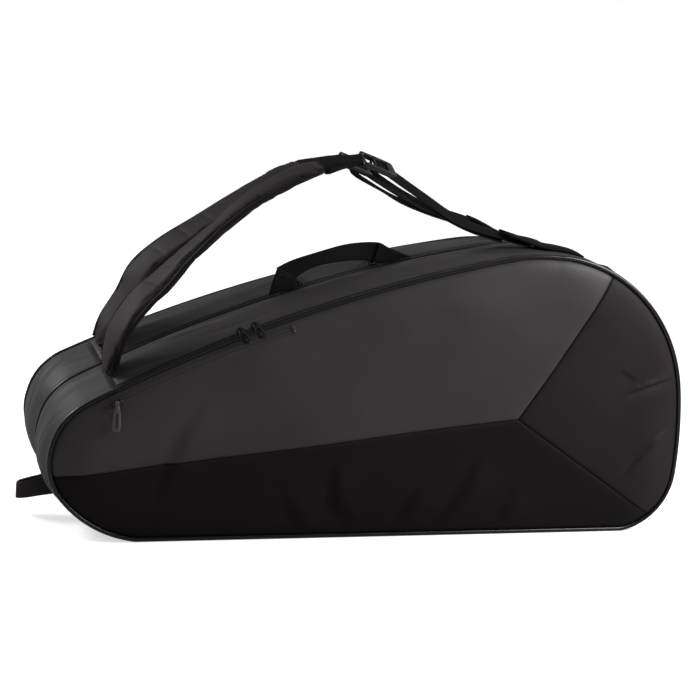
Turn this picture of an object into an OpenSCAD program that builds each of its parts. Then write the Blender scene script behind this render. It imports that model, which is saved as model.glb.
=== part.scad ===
// Racket bag with two zipped compartments, a front pocket and two padded shoulder straps.
// X runs along the bag towards its tall end, -Y is the front, Z is up and the bag stands on Z = 0.
// Sizes are millimetres.

/* [Side outline] */
// How far the low corner's centre lies behind the round top's reach
heel_back = 66; // [58:1:72]
// Radius of the low corner at the tall end
heel_r = 72; // [64:1:80]
// Reach of the round top's circle, right of the middle
crown_reach = 375; // [360:1:388]
// Height of the round top's centre above the base seam
crown_z = 140; // [130:1:150]
// Radius of the round top
crown_r = 194; // [184:1:204]
// Radius of the tall end between its low corner and the round top
side_r = 546; // [500:1:620]
// Radius of the long sloping top edge
top_r = 1757; // [1500:1:2200]
// Centre of the low end's nose, left of the middle
nose_x = 301; // [290:1:313]
// Height of the nose's centre above the base seam
nose_z = 96; // [90:1:102]
// Radius of the nose
nose_r = 69; // [64:1:74]
// Radius of the low end's belly, from the nose down to the base
toe_r = 146; // [140:1:156]

/* [Compartments] */
// Depth of one compartment, from seam to seam
gusset_d = 103; // [95:1:115]
// How far the round top of the middle seam lies below the front one
mid_drop = 7; // [0:0.5:10]
// How far the round top of the rear seam lies below the front one
rear_drop = 22; // [12:1:26]
// How far the gussets swell between their seams
gusset_swell = 8; // [7:0.5:10]
// Thickness of the padded gusset cloth
wall = 3; // [2.5:0.1:3.4]
// Radius of the piping in the seams
pipe_r = 2.2; // [1.8:0.1:2.4]
// Thickness of the divider between the compartments
divider_t = 2; // [1.5:0.1:3]
// Thickness of the stiffening boards in the bottom
board_t = 2; // [1.5:0.1:3]
// Margin between a stiffening board and the seams beside it
board_margin = 14; // [10:1:30]

/* [Covers] */
// Thickness of the cover's cloth
panel_t = 2.4; // [1.8:0.1:2.8]
// Crown of the front cover at its middle
cover_crown = 11; // [9:0.5:14]
// Crown of the rear cover, which carries more padding for the back
back_crown = 14.5; // [12:0.5:16]
// Thickness of the padding behind the seam plane
pad_back = 3; // [2:0.5:4]
// Thickness of the lining
lining_t = 0.8; // [0.6:0.1:1]
// How far the seam point where the three cloths of a cover meet lies behind the round top's reach
seam_back = 209; // [198:1:220]
// Height of that seam point
seam_z = 145; // [138:1:152]
// Height of the lower seam at the low end
seam_left_z = 77; // [70:1:84]
// Direction of the seam that runs up to the round top, in degrees
seam_up_turn = 59; // [55:1:63]
// Direction of the seam that runs down to the low corner, in degrees
seam_down_turn = -33; // [-37:1:-29]

/* [Zips] */
// Width of a main zip, from its seam to the gusset cloth
zip_w = 14; // [13:0.5:15]
// Radius of a zip coil
coil_r = 1.5; // [1.2:0.1:1.6]
// Thickness of a zip tape
tape_t = 1.2; // [0.8:0.1:1.4]
// Right end of the main zips, in degrees round the round top
zip_right = 60; // [54:1:66]
// Left end of the main zips, left of the middle
zip_left_x = 301; // [295:1:305]
// Place of the front zip's left slider along the bag
front_left_x = -167; // [-176:1:-166]
// Place of the front zip's right slider along the bag
front_right_x = -151; // [-152:1:-120]
// Place of the rear zip's left slider along the bag
rear_left_x = -75; // [-83:1:-65]
// Place of the rear zip's right slider along the bag
rear_right_x = 12; // [5:1:19]
// Distance of the pocket zip from the cover's seam
pocket_inset = 11; // [10.5:0.1:11.5]
// Place of the pocket slider along the bag
pocket_x = -299; // [-303:1:-295]
// Right end of the pocket zip along the bag
pocket_right_x = -114; // [-125:1:-105]

/* [Sliders and pulls] */
// Length of a slider
slider_l = 13; // [12:0.5:14]
// Width of a slider
slider_w = 8; // [7.6:0.1:8.6]
// Radius of the bar that carries a pull
bar_r = 0.9; // [0.8:0.05:1]
// Length of a pull
pull_l = 32; // [28:1:34]
// Width of a pull
pull_w = 11; // [10:0.5:12]
// Thickness of a pull
pull_t = 2; // [1.6:0.1:2.2]
// Angle of a resting front pull below the zip, in degrees
front_pull_dip = 16; // [12:1:17]
// Angle between a hanging pocket pull and the cover's slope, in degrees
pocket_pull_dip = 11; // [9:1:12]
// Angle of a resting rear pull above the zip, in degrees
rear_pull_rise = 8; // [7:1:10]

/* [Grab handle] */
// Place of the handle's left foot along the bag
handle_left_x = -98; // [-105:1:-95]
// Place of the handle's right foot along the bag
handle_right_x = 41; // [37:1:49]
// Height of the handle above its seam
handle_h = 43; // [40:1:46]
// Width of the handle's webbing
handle_w = 24; // [20:1:25]
// Thickness of the handle's webbing
handle_t = 2.4; // [2:0.1:2.8]

/* [Shoulder straps] */
// Width of a shoulder pad
pad_w = 60; // [52:1:62]
// Thickness of a shoulder pad
pad_t = 12; // [10:0.5:14]
// Width of the strap webbing
web_w = 25; // [23:1:27]
// Thickness of the strap webbing
web_t = 1.8; // [1.4:0.1:2.2]
// Thickness of the sewn strap tabs
tab_t = 3; // [2.4:0.1:3.4]
// Height of the tab at the low end
tab_h = 18; // [16:1:22]
// Length of the pad along the bag
pad_reach = 240; // [230:1:252]
// Rise of the front pad above its tab
front_rise = 217; // [210:1:224]
// Rise of the rear pad above its tab
rear_rise = 205; // [200:1:212]
// How far a pad's high end leans to the middle seam
pad_lean = 14; // [8:1:16]
// Length of a ladder-lock buckle
lock_l = 40; // [38:0.5:42]
// Radius of a buckle's bars
lock_bar_r = 1.9; // [1.7:0.1:2.1]
// Length of the loose webbing tail along the bag
tail_l = 120; // [100:1:130]

/* [End loop] */
// Length of the loop on the low end
loop_l = 56; // [50:1:60]
// Width of the loop's webbing
loop_w = 25; // [22:1:28]
// Room inside the loop
loop_gap = 8; // [7:0.5:10]
// Thickness of the loop's webbing
loop_t = 2; // [1.6:0.1:2.4]
// Place of the loop round the belly, in degrees
loop_turn = 231; // [228:1:234]

/* [Hidden] */
// Room between pieces that move on each other
play = 0.3;
// Half of the gap between the top gussets and the base gussets
join_gap = 0.25;
// Gap between the three cloths of a cover
cloth_gap = 0.4;
// Centre of the round top, right of the middle
crown_x = crown_reach - crown_r;
// Low corner of the tall end and seam point of the cloths, right of the middle
heel_x = crown_reach - heel_back;
seam_x = crown_reach - seam_back;
// Distance of a zip's middle line from its seam, and its width of bare coil
zip_s = zip_w / 2;
coil_room = coil_r + play;
// Heights of the tapes and the coil above the seam line
tape_top = -0.4;
coil_n = tape_top + 1;
// Width of a cover's rounded edge, and its rings: share of that width, and share of its crown
cover_roll = 54;
COVER_RINGS = [[0, 0], [0.056, 0.15], [0.315, 0.56], [0.63, 0.86], [1, 1]];
// Corners of each arc of the side outline
STEPS = [4, 4, 4, 1, 5, 9, 1, 2, 7, 5, 1];
// Corners round a piping or a coil
ROUND = 6;
$fn = 32;

// Side outline: round corners joined by larger arcs that touch them from outside

function lerp(a, b, t) = a + (b - a) * t;

function clamp01(t) = max(0, min(1, t));

function sum_to(list, count) = count == 0 ? 0 : list[count - 1] + sum_to(list, count - 1);

// Direction of a vector in degrees, from -90 to 270
function turn(v) = atan2(v.y, v.x) < -90 ? atan2(v.y, v.x) + 360 : atan2(v.y, v.x);

function turned(a) = [cos(a), sin(a)];

// Centre of the arc of radius r that holds two circles and touches both
function blend_centre(c1, r1, c2, r2, r) =
    let (d = norm(c2 - c1), along = (c2 - c1) / d, inward = [-along.y, along.x])
    let (a = r - r1, b = r - r2, x = (a * a - b * b + d * d) / (2 * d))
    c1 + along * x + inward * sqrt(a * a - x * x);

heel_c = [heel_x, heel_r + pipe_r];
nose_c = [-nose_x, nose_z + pipe_r];
toe_c = [nose_c.x + sqrt(pow(toe_r - nose_r, 2) - pow(toe_r - nose_z, 2)), toe_r + pipe_r];

function crown_centre(drop) = [crown_x, crown_z + pipe_r - drop];

function top_centre(drop) = blend_centre(crown_centre(drop), crown_r, nose_c, nose_r, top_r);

// Angle on the sloping top edge at a place along the bag
function top_angle(drop, x) = acos((x - top_centre(drop).x) / top_r);

function gap_angle(r) = join_gap / r * 180 / PI;

// Centre, radius, start and end of each arc, from the low corner of the tall end round the top
function outline_arcs(drop) =
    let (crown_c = crown_centre(drop), top_c = top_centre(drop))
    let (side_c = blend_centre(heel_c, heel_r, crown_c, crown_r, side_r))
    let (side_start = turn(heel_c - side_c), side_end = turn(crown_c - side_c))
    let (top_start = turn(crown_c - top_c), top_end = turn(nose_c - top_c))
    let (left_join = top_angle(drop, -zip_left_x), nose_end = turn(nose_c - toe_c))
    let (right_gap = gap_angle(crown_r), left_gap = gap_angle(top_r))
    [
        [heel_c, heel_r, -90, side_start],
        [side_c, side_r, side_start, side_end],
        [crown_c, crown_r, side_end, zip_right - right_gap],
        [crown_c, crown_r, zip_right - right_gap, zip_right + right_gap],
        [crown_c, crown_r, zip_right + right_gap, top_start],
        [top_c, top_r, top_start, left_join - left_gap],
        [top_c, top_r, left_join - left_gap, left_join + left_gap],
        [top_c, top_r, left_join + left_gap, top_end],
        [nose_c, nose_r, top_end, nose_end],
        [toe_c, toe_r, nose_end, 270]
    ];

// Corners of the side outline, drawn in by inset, with its round top lowered by drop
function outline(drop, inset) =
    let (arcs = outline_arcs(drop), base = len(arcs))
    [
        for (k = [0:base - 1], i = [0:STEPS[k] - 1])
            arcs[k][0] + (arcs[k][1] - inset) * turned(lerp(arcs[k][2], arcs[k][3], i / STEPS[k])),
        for (i = [0:STEPS[base] - 1])
            [lerp(toe_c.x, heel_c.x, i / STEPS[base]), pipe_r + inset]
    ];

corners = sum_to(STEPS, len(STEPS));
// First and last corner of the zipped top, and of the rest
top_first = sum_to(STEPS, 4);
top_last = sum_to(STEPS, 6);
base_first = top_last + 1;
base_last = corners + top_first - 1;

// Depth of a place inside its compartment, and how much of the gusset lies before it
function depth(y) = y < 0 ? y + gusset_d : y;
function across(y) = clamp01((depth(y) - zip_w) / (gusset_d - zip_w));

function swell(y) = gusset_swell * (1 - pow(2 * across(y) - 1, 2));

function drop_at(y) = y < 0 ? mid_drop * across(y) : lerp(mid_drop, rear_drop, across(y));

// Point on the outside of a top gusset, at an angle of the sloping top edge or of the round top
function slope_point(y, a, out) =
    let (p = top_centre(drop_at(y)) + (top_r + swell(y) + out) * turned(a))
    [p.x, y, p.y];

// Solids from rings of points

function quad(a, b, c, d) = [[a, b, c], [a, c, d]];

// Solid between rings of equal counts, closed at its ends or joined to a loop
module skin(rings, looped = false) {
    n = len(rings[0]);
    m = len(rings);
    sides = [
        for (i = [0:looped ? m - 1 : m - 2], j = [0:n - 1])
            let (next = (i + 1) % m, k = (j + 1) % n)
            each quad(i * n + j, next * n + j, next * n + k, i * n + k)
    ];
    last = (m - 1) * n;
    caps = looped ? [] : [
        for (j = [0:ceil(n / 2) - 2])
            each concat(
                quad(j, j + 1, n - 2 - j, n - 1 - j),
                quad(last + n - 1 - j, last + n - 2 - j, last + j + 1, last + j))
    ];
    solid_faces = [for (f = concat(sides, caps)) if (f[0] != f[1] && f[1] != f[2] && f[0] != f[2]) f];
    polyhedron([for (r = rings) each r], solid_faces, convexity = 10);
}

// Band of cloth that follows the outline from corner first to corner last, at the depths ys
module band(ys, first, last, high, low) {
    outside = [for (y = ys) outline(drop_at(y), -swell(y) - high)];
    inside = [for (y = ys) outline(drop_at(y), -swell(y) - low)];
    k = len(ys) - 1;
    skin([
        for (i = [first:last])
            let (j = i % corners)
            [
                for (c = [0:k]) [outside[c][j].x, ys[c], max(0, outside[c][j].y)],
                for (c = [k:-1:0]) [inside[c][j].x, ys[c], max(high - low, inside[c][j].y)]
            ]
    ]);
}

// Round rod that follows the outline at depth y, out from the seam line
module rod(y, drop, first, last, out, r, looped = false) {
    line = outline(drop, -out);
    beyond = outline(drop, -out - 1);
    skin([
        for (i = [first:last])
            let (j = i % corners, away = beyond[j] - line[j])
            [
                for (k = [0:ROUND - 1])
                    let (a = k * 360 / ROUND, p = line[j] + away * r * cos(a))
                    [p.x, y + r * sin(a), p.y]
            ]
    ], looped);
}

// Flat plate in the shape of the outline, between two depths
module plate(drop, inset, y_front, y_back) {
    translate([0, y_back, 0])
        rotate([90, 0, 0])
            linear_extrude(y_back - y_front)
                polygon(outline(drop, inset));
}

// Ribbon along a list of centres, with a width for each and a section of thickness t
module ribbon(centres, widths, t, soft = false) {
    last = len(centres) - 1;
    half = soft ? [[1, 0.25], [0.8, 1], [-0.8, 1], [-1, 0.25]] : [[1, 1], [-1, 1]];
    section = concat(half, [for (i = [len(half) - 1:-1:0]) [half[i].x, -half[i].y]]);
    skin([
        for (i = [0:last])
            let (ahead = centres[min(last, i + 1)] - centres[max(0, i - 1)])
            let (up = [-ahead.z, 0, ahead.x] / norm([ahead.x, ahead.z]))
            [
                for (p = section)
                    centres[i] + [0, p.x * widths[i] / 2, 0] + up * p.y * t / 2
            ]
    ]);
}

// Strip of even thickness along a path, as a flat outline
function strip(path, t) =
    let (last = len(path) - 1)
    let (sides = [
        for (i = [0:last])
            let (ahead = path[min(last, i + 1)] - path[max(0, i - 1)])
            [-ahead.y, ahead.x] / norm(ahead) * t / 2
    ])
    concat([for (i = [0:last]) path[i] + sides[i]], [for (i = [last:-1:0]) path[i] - sides[i]]);

function bezier(p, t) =
    pow(1 - t, 3) * p[0] + 3 * t * pow(1 - t, 2) * p[1] + 3 * t * t * (1 - t) * p[2] + pow(t, 3) * p[3];

// Gussets, divider and boards of the core

edge = pipe_r + play;
gusset_steps = [0.22, 0.5, 0.78];

function gusset_depths(from) =
    [from, for (k = gusset_steps) lerp(zip_w, gusset_d, k), gusset_d - edge];

function base_depths() = [edge, each gusset_depths(zip_w)];

module divider_panel() {
    color("#2a2829") plate(mid_drop, edge, -divider_t / 2, divider_t / 2);
}

module mid_piping() {
    color("#151414") rod(0, mid_drop, 0, corners - 1, 0, pipe_r, true);
}

module front_top_gusset() {
    color("#3b3738")
        band([for (s = gusset_depths(zip_w + play)) s - gusset_d], top_first, top_last, 0, -wall);
}

module front_base_gusset() {
    color("#353132") band([for (s = base_depths()) s - gusset_d], base_first, base_last, 0, -wall);
}

module rear_base_gusset() {
    color("#353132") band(base_depths(), base_first, base_last, 0, -wall);
}

// Stiffening board on the inside of a compartment's bottom, whose front seam lies at depth y
module base_board(y) {
    color("#1c1b1b")
        translate([toe_c.x, y + board_margin, wall + pipe_r + play])
            cube([heel_c.x - toe_c.x, gusset_d - 2 * board_margin, board_t]);
}

module front_base_board() {
    base_board(-gusset_d);
}

module rear_base_board() {
    base_board(0);
}

// Covers

// Ring of a cover at its row of COVER_RINGS, out from the seam plane
function cover_ring(drop, crown, inset, ring, out) =
    let (y = -gusset_d - COVER_RINGS[ring][1] * crown - out)
    [for (p = outline(drop, inset + COVER_RINGS[ring][0] * cover_roll)) [p.x, y, p.y]];

cover_last = len(COVER_RINGS) - 1;

module cover_shell(drop, crown) {
    skin([
        for (k = [cover_last:-1:0]) cover_ring(drop, crown, edge, k, -panel_t / 2),
        for (k = [0:cover_last]) cover_ring(drop, crown, edge, k, panel_t / 2)
    ]);
}

module cover_padding(drop, crown) {
    inset = wall + 2 * play;
    back = [for (p = outline(drop, inset)) [p.x, -gusset_d + pad_back, p.y]];
    skin([
        back,
        for (k = [0:cover_last]) cover_ring(drop, crown, inset, k, -panel_t / 2 - play)
    ]);
}

module cover_lining(drop) {
    y = -gusset_d + pad_back + play;
    plate(drop, wall + 3 * play, y, y + lining_t);
}

// Flat outline of one of the three cloths of a cover
seam_point = [seam_x, seam_z];
far = 2 * crown_r + 2 * nose_x;
far_left = [-far, lerp(seam_z, seam_left_z, (far + seam_x) / (nose_x + nose_r + seam_x))];
far_up = seam_point + far * turned(seam_up_turn);
far_down = seam_point + far * turned(seam_down_turn);

module cloth(corner_list) {
    rotate([90, 0, 0])
        linear_extrude(2 * gusset_d)
            offset(delta = -cloth_gap / 2)
                polygon(corner_list);
}

module upper_cloth(drop, crown) {
    intersection() {
        cover_shell(drop, crown);
        cloth([seam_point, far_up, [-far, far], far_left]);
    }
}

module lower_cloth(drop, crown) {
    intersection() {
        cover_shell(drop, crown);
        cloth([seam_point, far_left, [-far, -far], far_down]);
    }
}

module tip_cloth(drop, crown) {
    intersection() {
        cover_shell(drop, crown);
        cloth([seam_point, far_down, far_up]);
    }
}

module front_upper_panel() {
    color("#3f3a3b") upper_cloth(0, cover_crown);
}

module front_lower_panel() {
    color("#1a1718") lower_cloth(0, cover_crown);
}

module front_tip_panel() {
    color("#252122") tip_cloth(0, cover_crown);
}

module front_piping() {
    color("#151414") rod(-gusset_d, 0, 0, corners - 1, 0, pipe_r, true);
}

module front_padding() {
    color("#505050") cover_padding(0, cover_crown);
}

module front_lining() {
    color("#2e2c2d") cover_lining(0);
}

module rear_upper_panel() {
    color("#3f3a3b") mirror([0, 1, 0]) upper_cloth(rear_drop, back_crown);
}

module rear_lower_panel() {
    color("#1a1718") mirror([0, 1, 0]) lower_cloth(rear_drop, back_crown);
}

module rear_tip_panel() {
    color("#252122") mirror([0, 1, 0]) tip_cloth(rear_drop, back_crown);
}

module rear_piping() {
    color("#151414") rod(gusset_d, rear_drop, 0, corners - 1, 0, pipe_r, true);
}

module rear_padding() {
    color("#505050") mirror([0, 1, 0]) cover_padding(rear_drop, back_crown);
}

module rear_lining() {
    color("#2e2c2d") mirror([0, 1, 0]) cover_lining(rear_drop);
}

module rear_top_gusset() {
    color("#3b3738") band(gusset_depths(zip_w + play), top_first, top_last, 0, -wall);
}

// Main zips, each beside the seam at depth y

module zip_tape(y, from, to) {
    color("#1b191a") band([y + from, y + to], top_first, top_last, tape_top, tape_top - tape_t);
}

module front_zip_panel_tape() {
    zip_tape(-gusset_d, edge, zip_s - coil_room);
}

module front_zip_gusset_tape() {
    zip_tape(-gusset_d, zip_s + coil_room, zip_w);
}

module front_zip_coil() {
    color("#222021") rod(-gusset_d + zip_s, 0, top_first, top_last, coil_n, coil_r);
}

module rear_zip_seam_tape() {
    zip_tape(0, edge, zip_s - coil_room);
}

module rear_zip_gusset_tape() {
    zip_tape(0, zip_s + coil_room, zip_w);
}

module rear_zip_coil() {
    color("#222021") rod(zip_s, mid_drop, top_first, top_last, coil_n, coil_r);
}

// Pocket zip on the slope of the front cover's edge, parallel to its top

pocket_ring_in = edge + COVER_RINGS[1][0] * cover_roll;
pocket_ring_rise = COVER_RINGS[1][1] * cover_crown;
pocket_slope = (COVER_RINGS[2][1] - COVER_RINGS[1][1]) * cover_crown
    / ((COVER_RINGS[2][0] - COVER_RINGS[1][0]) * cover_roll);
pocket_lean = atan(pocket_slope);
pocket_left_turn = top_angle(0, pocket_x - slider_l);
pocket_right_turn = top_angle(0, pocket_right_x);
pocket_steps = 8;

// Point at an angle of the pocket zip: s up the cover's slope and n out from its cloth
function pocket_point(a, s, n) =
    let (inset = pocket_inset - s * cos(pocket_lean) - n * sin(pocket_lean))
    let (rise = pocket_ring_rise + (pocket_inset - s * cos(pocket_lean) - pocket_ring_in) * pocket_slope)
    let (p = top_centre(0) + (top_r - inset) * turned(a))
    [p.x, -gusset_d - panel_t / 2 - rise - n * cos(pocket_lean), p.y];

function pocket_turn(i) = lerp(pocket_right_turn, pocket_left_turn, i / pocket_steps);

module pocket_zip_tape() {
    half = slider_w / 2;
    color("#2c2829")
        skin([
            for (i = [0:pocket_steps])
                let (a = pocket_turn(i))
                [
                    pocket_point(a, -half, play),
                    pocket_point(a, -half, play + tape_t),
                    pocket_point(a, half, play + tape_t),
                    pocket_point(a, half, play)
                ]
        ]);
}

pocket_coil_n = play + tape_t + play + coil_r;

module pocket_zip_coil() {
    color("#222021")
        skin([
            for (i = [0:pocket_steps])
                [
                    for (k = [0:ROUND - 1])
                        let (a = k * 360 / ROUND)
                        pocket_point(pocket_turn(i), coil_r * sin(a), pocket_coil_n + coil_r * cos(a))
                ]
        ]);
}

// Sliders and pulls. X runs along the zip, Y across it and Z out of it

plate_low = coil_n + coil_r + 1.3 * play;
plate_t = 1.4;
leg_t = slider_w / 2 - coil_r - 2 * play;
eye_r = bar_r + 1.3;
eye_play = 0.08;
eye_l = 5;
post_t = 1.6;
bar_n = plate_low + plate_t + eye_r + play;

module at_zip(y, drop, x, lift = 0) {
    c = top_centre(drop);
    a = top_angle(drop, x);
    translate([c.x, y, c.y])
        rotate([0, 90 - a, 0])
            translate([0, 0, top_r + lift])
                children();
}

module at_front_zip(x) {
    at_zip(zip_s - gusset_d, 0, x) children();
}

module at_rear_zip(x) {
    at_zip(zip_s, mid_drop, x) children();
}

module at_pocket_zip() {
    base = pocket_point(top_angle(0, pocket_x), 0, pocket_coil_n - coil_n);
    translate(base)
        rotate([0, 90 - top_angle(0, pocket_x), 0])
            rotate([90 - pocket_lean, 0, 0])
                children();
}

module slider() {
    leg_low = tape_top + play;
    color("#1d1c1c") {
        translate([-slider_l / 2, -slider_w / 2, plate_low]) cube([slider_l, slider_w, plate_t]);
        for (side = [0, 1])
            translate([-slider_l / 2, -slider_w / 2 + side * (slider_w - leg_t), leg_low])
                cube([slider_l, leg_t, plate_low - leg_low]);
        for (side = [-1, 1])
            translate([side * (eye_l + post_t + play) / 2 - post_t / 2, -bar_r, plate_low + plate_t])
                cube([post_t, 2 * bar_r, bar_n + bar_r - plate_low - plate_t]);
        translate([-eye_l / 2 - post_t, 0, bar_n])
            rotate([0, 90, 0])
                cylinder(r = bar_r, h = eye_l + 2 * post_t);
    }
}

// Solid whose side view is a strip along a path from the bar
module side_strip(path, width) {
    translate([-width / 2, 0, 0])
        rotate([90, 0, 90])
            linear_extrude(width)
                polygon(strip(path, pull_t));
}

module bar_cylinder(r, h) {
    rotate([0, 90, 0]) cylinder(r = r, h = h, center = true);
}

// Pull that leaves the bar at an angle, with a slot in its far half, swung sideways by skew
module pull(lean, skew = 0) {
    slot = [pull_w / 4, pull_l / 2, 4 * pull_t];
    out = turned(lean);
    neck = [out * bar_r, out * (eye_r + 3 * play)];
    slot_at = out * pull_l * 0.62;
    color("#202020")
        translate([0, 0, bar_n])
            difference() {
                union() {
                    bar_cylinder(eye_r, eye_l);
                    difference() {
                        rotate([0, 0, skew]) side_strip([out * eye_r, out * pull_l], pull_w);
                        bar_cylinder(eye_r + play, 2 * pull_w);
                    }
                    side_strip(neck, eye_l);
                }
                bar_cylinder(bar_r + eye_play, 2 * pull_w);
                rotate([0, 0, skew])
                    translate([0, slot_at.x, slot_at.y])
                        rotate([lean, 0, 0])
                            cube(slot, center = true);
            }
}

module front_left_slider() {
    at_front_zip(front_left_x) slider();
}

module front_right_slider() {
    at_front_zip(front_right_x) slider();
}

module rear_left_slider() {
    at_rear_zip(rear_left_x) slider();
}

module rear_right_slider() {
    at_rear_zip(rear_right_x) slider();
}

module pocket_slider() {
    at_pocket_zip() slider();
}

module front_left_pull() {
    at_front_zip(front_left_x) pull(180 + front_pull_dip);
}

module front_right_pull() {
    at_front_zip(front_right_x) pull(180 + front_pull_dip);
}

module rear_left_pull() {
    at_rear_zip(rear_left_x) pull(rear_pull_rise);
}

module rear_right_pull() {
    at_rear_zip(rear_right_x) pull(rear_pull_rise);
}

module pocket_pull() {
    hang = 90 - top_angle(0, pocket_x);
    at_pocket_zip() pull(180 + pocket_pull_dip, hang);
}

// Grab handle: webbing folded at two corners, standing in the middle seam

function seam_at(x) = top_centre(mid_drop) + top_r * turned(top_angle(mid_drop, x));

handle_from = seam_at(handle_left_x);
handle_to = seam_at(handle_right_x);
handle_span = norm(handle_to - handle_from);
handle_slope = turn(handle_to - handle_from);
handle_low = 2 * pipe_r;
hem_low = pipe_r + 3 * play;
hem_t = 1;
handle_round = 6;

module at_handle() {
    translate([handle_from.x, 0, handle_from.y]) rotate([0, -handle_slope, 0]) children();
}

module handle_outline() {
    half = handle_w / 2;
    difference() {
        offset(r = handle_round)
            offset(delta = -handle_round)
                polygon([
                    [-half, handle_low], [handle_span + half, handle_low],
                    [handle_span + half - handle_round, handle_h], [handle_round - half, handle_h]
                ]);
        polygon([
            [half, 0], [handle_span - half, 0],
            [handle_span - half - handle_round, handle_h - handle_w],
            [half + handle_round, handle_h - handle_w]
        ]);
    }
}

module grab_handle() {
    color("#131212")
        at_handle() {
            rotate([90, 0, 0]) linear_extrude(handle_t, center = true) handle_outline();
            for (x = [0, handle_span])
                translate([x - handle_w / 4, -hem_t / 2, hem_low])
                    cube([handle_w / 2, hem_t, handle_low + 1 - hem_low]);
        }
}

// Shoulder straps. The front one stands on the front gusset, the rear one on the rear gusset

strap_y = gusset_d / 2;
pad_steps = 12;
web_steps = 10;
tab_turn_low = 72;
tab_turn_high = 88;
tail_gap = 9;
// Distance of the low tab from the end of the zip
tab_inset = 8;
// Width of a strap where it turns on its tab
tip_w = 1;

// Foot and top of the tab at the low end
function tab_foot(y) = slope_point(y, top_angle(drop_at(y), tab_inset - zip_left_x), 0);
function tab_top(y) = tab_foot(y) + tab_h * [0.28, 0, 1.11];

function crown_point(y, a, out) =
    let (p = crown_centre(drop_at(y)) + (crown_r + swell(y) + out) * turned(a))
    [p.x, y, p.y];

// Where the webbing leaves its tab on the round top
function web_end(y) = crown_point(y, tab_turn_high + 2, tab_t + 2 * play);

function pad_end(y, rise) = tab_top(y) + [pad_reach, -sign(y) * pad_lean, rise];

function pad_curve(y, rise) =
    let (from = tab_top(y) + [0, 0, play], to = pad_end(y, rise))
    [from, from + pad_reach * [0.032, 0, 0.235], to - pad_reach * [0.378, 0, 0.04], to];

// Width of a pad along its length: pointed at its tab, wide, and drawn in to the sleeve
function pad_width(t) =
    t < 0.2 ? lerp(tip_w, pad_w, sin(90 * t / 0.2)) : lerp(pad_w, 0.72 * pad_w, pow((t - 0.2) / 0.8, 3));

module strap_tabs(y) {
    color("#141313") {
        foot = tab_foot(y) + [0, 0, play + tab_t / 2];
        top = tab_top(y);
        ribbon([foot, lerp(foot, top, 0.5), top], [web_w, web_w, web_w], tab_t);
        steps = 4;
        ribbon(
            [
                for (i = [0:steps])
                    crown_point(y, lerp(tab_turn_low, tab_turn_high, i / steps), play + tab_t / 2)
            ],
            [for (i = [0:steps]) web_w],
            tab_t);
    }
}

module strap_pad(y, rise) {
    curve = pad_curve(y, rise);
    color("#3a3336")
        ribbon(
            [for (i = [0:pad_steps]) bezier(curve, i / pad_steps)],
            [for (i = [0:pad_steps]) pad_width(i / pad_steps)],
            pad_t, soft = true);
}

// The sleeve joins the pad to the buckle's first bar, the buckle lies level behind it
sleeve_l = 16;
lock_t = 5;
rail_t = 3.6;
lock_w = web_w + 2.5 * rail_t;
// First stretch of the webbing below the buckle's middle bar
web_drop = lock_l / 10 * [1, 0, -1];

function lock_start(y, rise) = pad_end(y, rise) + [sleeve_l, 0, 0];

module strap_sleeve(y, rise) {
    from = pad_end(y, rise) + [play, 0, 0];
    to = lock_start(y, rise) - [lock_bar_r + play, 0, 0];
    color("#121111") ribbon([from, to], [web_w, web_w], 2 * web_t);
}

// Buckle of two rails and three bars
module ladder_lock(y, rise) {
    color("#1a1a1a")
        translate(lock_start(y, rise)) {
            for (side = [-1, 1])
                translate([-lock_bar_r, side * (lock_w - rail_t) / 2 - rail_t / 2, -lock_t / 2])
                    cube([lock_l, rail_t, lock_t]);
            for (x = [0, lock_l * 0.42, lock_l * 0.84])
                translate([x, 0, 0])
                    rotate([90, 0, 0])
                        cylinder(r = lock_bar_r, h = lock_w, center = true);
        }
}

function web_curve(y, rise) =
    let (from = lock_start(y, rise) + [lock_l * 0.42, 0, -lock_bar_r - web_t / 2 - play], to = web_end(y))
    let (start = from + web_drop)
    [start, start + lock_l * [0.4, 0, -0.8], to + [-pad_reach * 0.343, 0, tab_h], to];

// Adjusting webbing from the buckle's middle bar to the tab, and its loose tail below it
module strap_webbing(y, rise) {
    curve = web_curve(y, rise);
    low = [-web_t, 0, -tail_gap];
    color("#121111") {
        ribbon(
            [
                curve[0] - web_drop,
                for (i = [0:web_steps]) bezier(curve, i / web_steps)
            ],
            [for (i = [0:web_steps + 1]) i > web_steps ? tip_w : web_w],
            web_t);
        tail_end = curve[0] + [tail_l, sign(y) * play, -tail_l * 0.5];
        tail_start = lock_start(y, rise) + [lock_l * 0.42 - lock_bar_r - web_t / 2 - play, 0, 0];
        tail = [
            tail_start,
            tail_start - lock_l * [0.05, 0, 0.85],
            tail_end + tail_l * [-0.42, 0, 0.18] + low,
            tail_end + low
        ];
        ribbon(
            [for (i = [0:web_steps]) bezier(tail, i / web_steps)],
            [for (i = [0:web_steps]) web_w],
            web_t);
    }
}

module front_strap_tabs() {
    strap_tabs(-strap_y);
}

module rear_strap_tabs() {
    strap_tabs(strap_y);
}

module front_strap_pad() {
    strap_pad(-strap_y, front_rise);
}

module front_strap_sleeve() {
    strap_sleeve(-strap_y, front_rise);
}

module front_ladder_lock() {
    ladder_lock(-strap_y, front_rise);
}

module front_strap_webbing() {
    strap_webbing(-strap_y, front_rise);
}

module rear_strap_pad() {
    strap_pad(strap_y, rear_rise);
}

module rear_strap_sleeve() {
    strap_sleeve(strap_y, rear_rise);
}

module rear_ladder_lock() {
    ladder_lock(strap_y, rear_rise);
}

module rear_strap_webbing() {
    strap_webbing(strap_y, rear_rise);
}

// Webbing loop in the middle seam at the low end

loop_root = toe_r + pipe_r + play;
loop_neck = 12;
loop_seat = toe_c + loop_root * turned(loop_turn);

module at_loop() {
    translate([loop_seat.x, 0, loop_seat.y]) rotate([0, 0, 180]) children();
}

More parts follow.
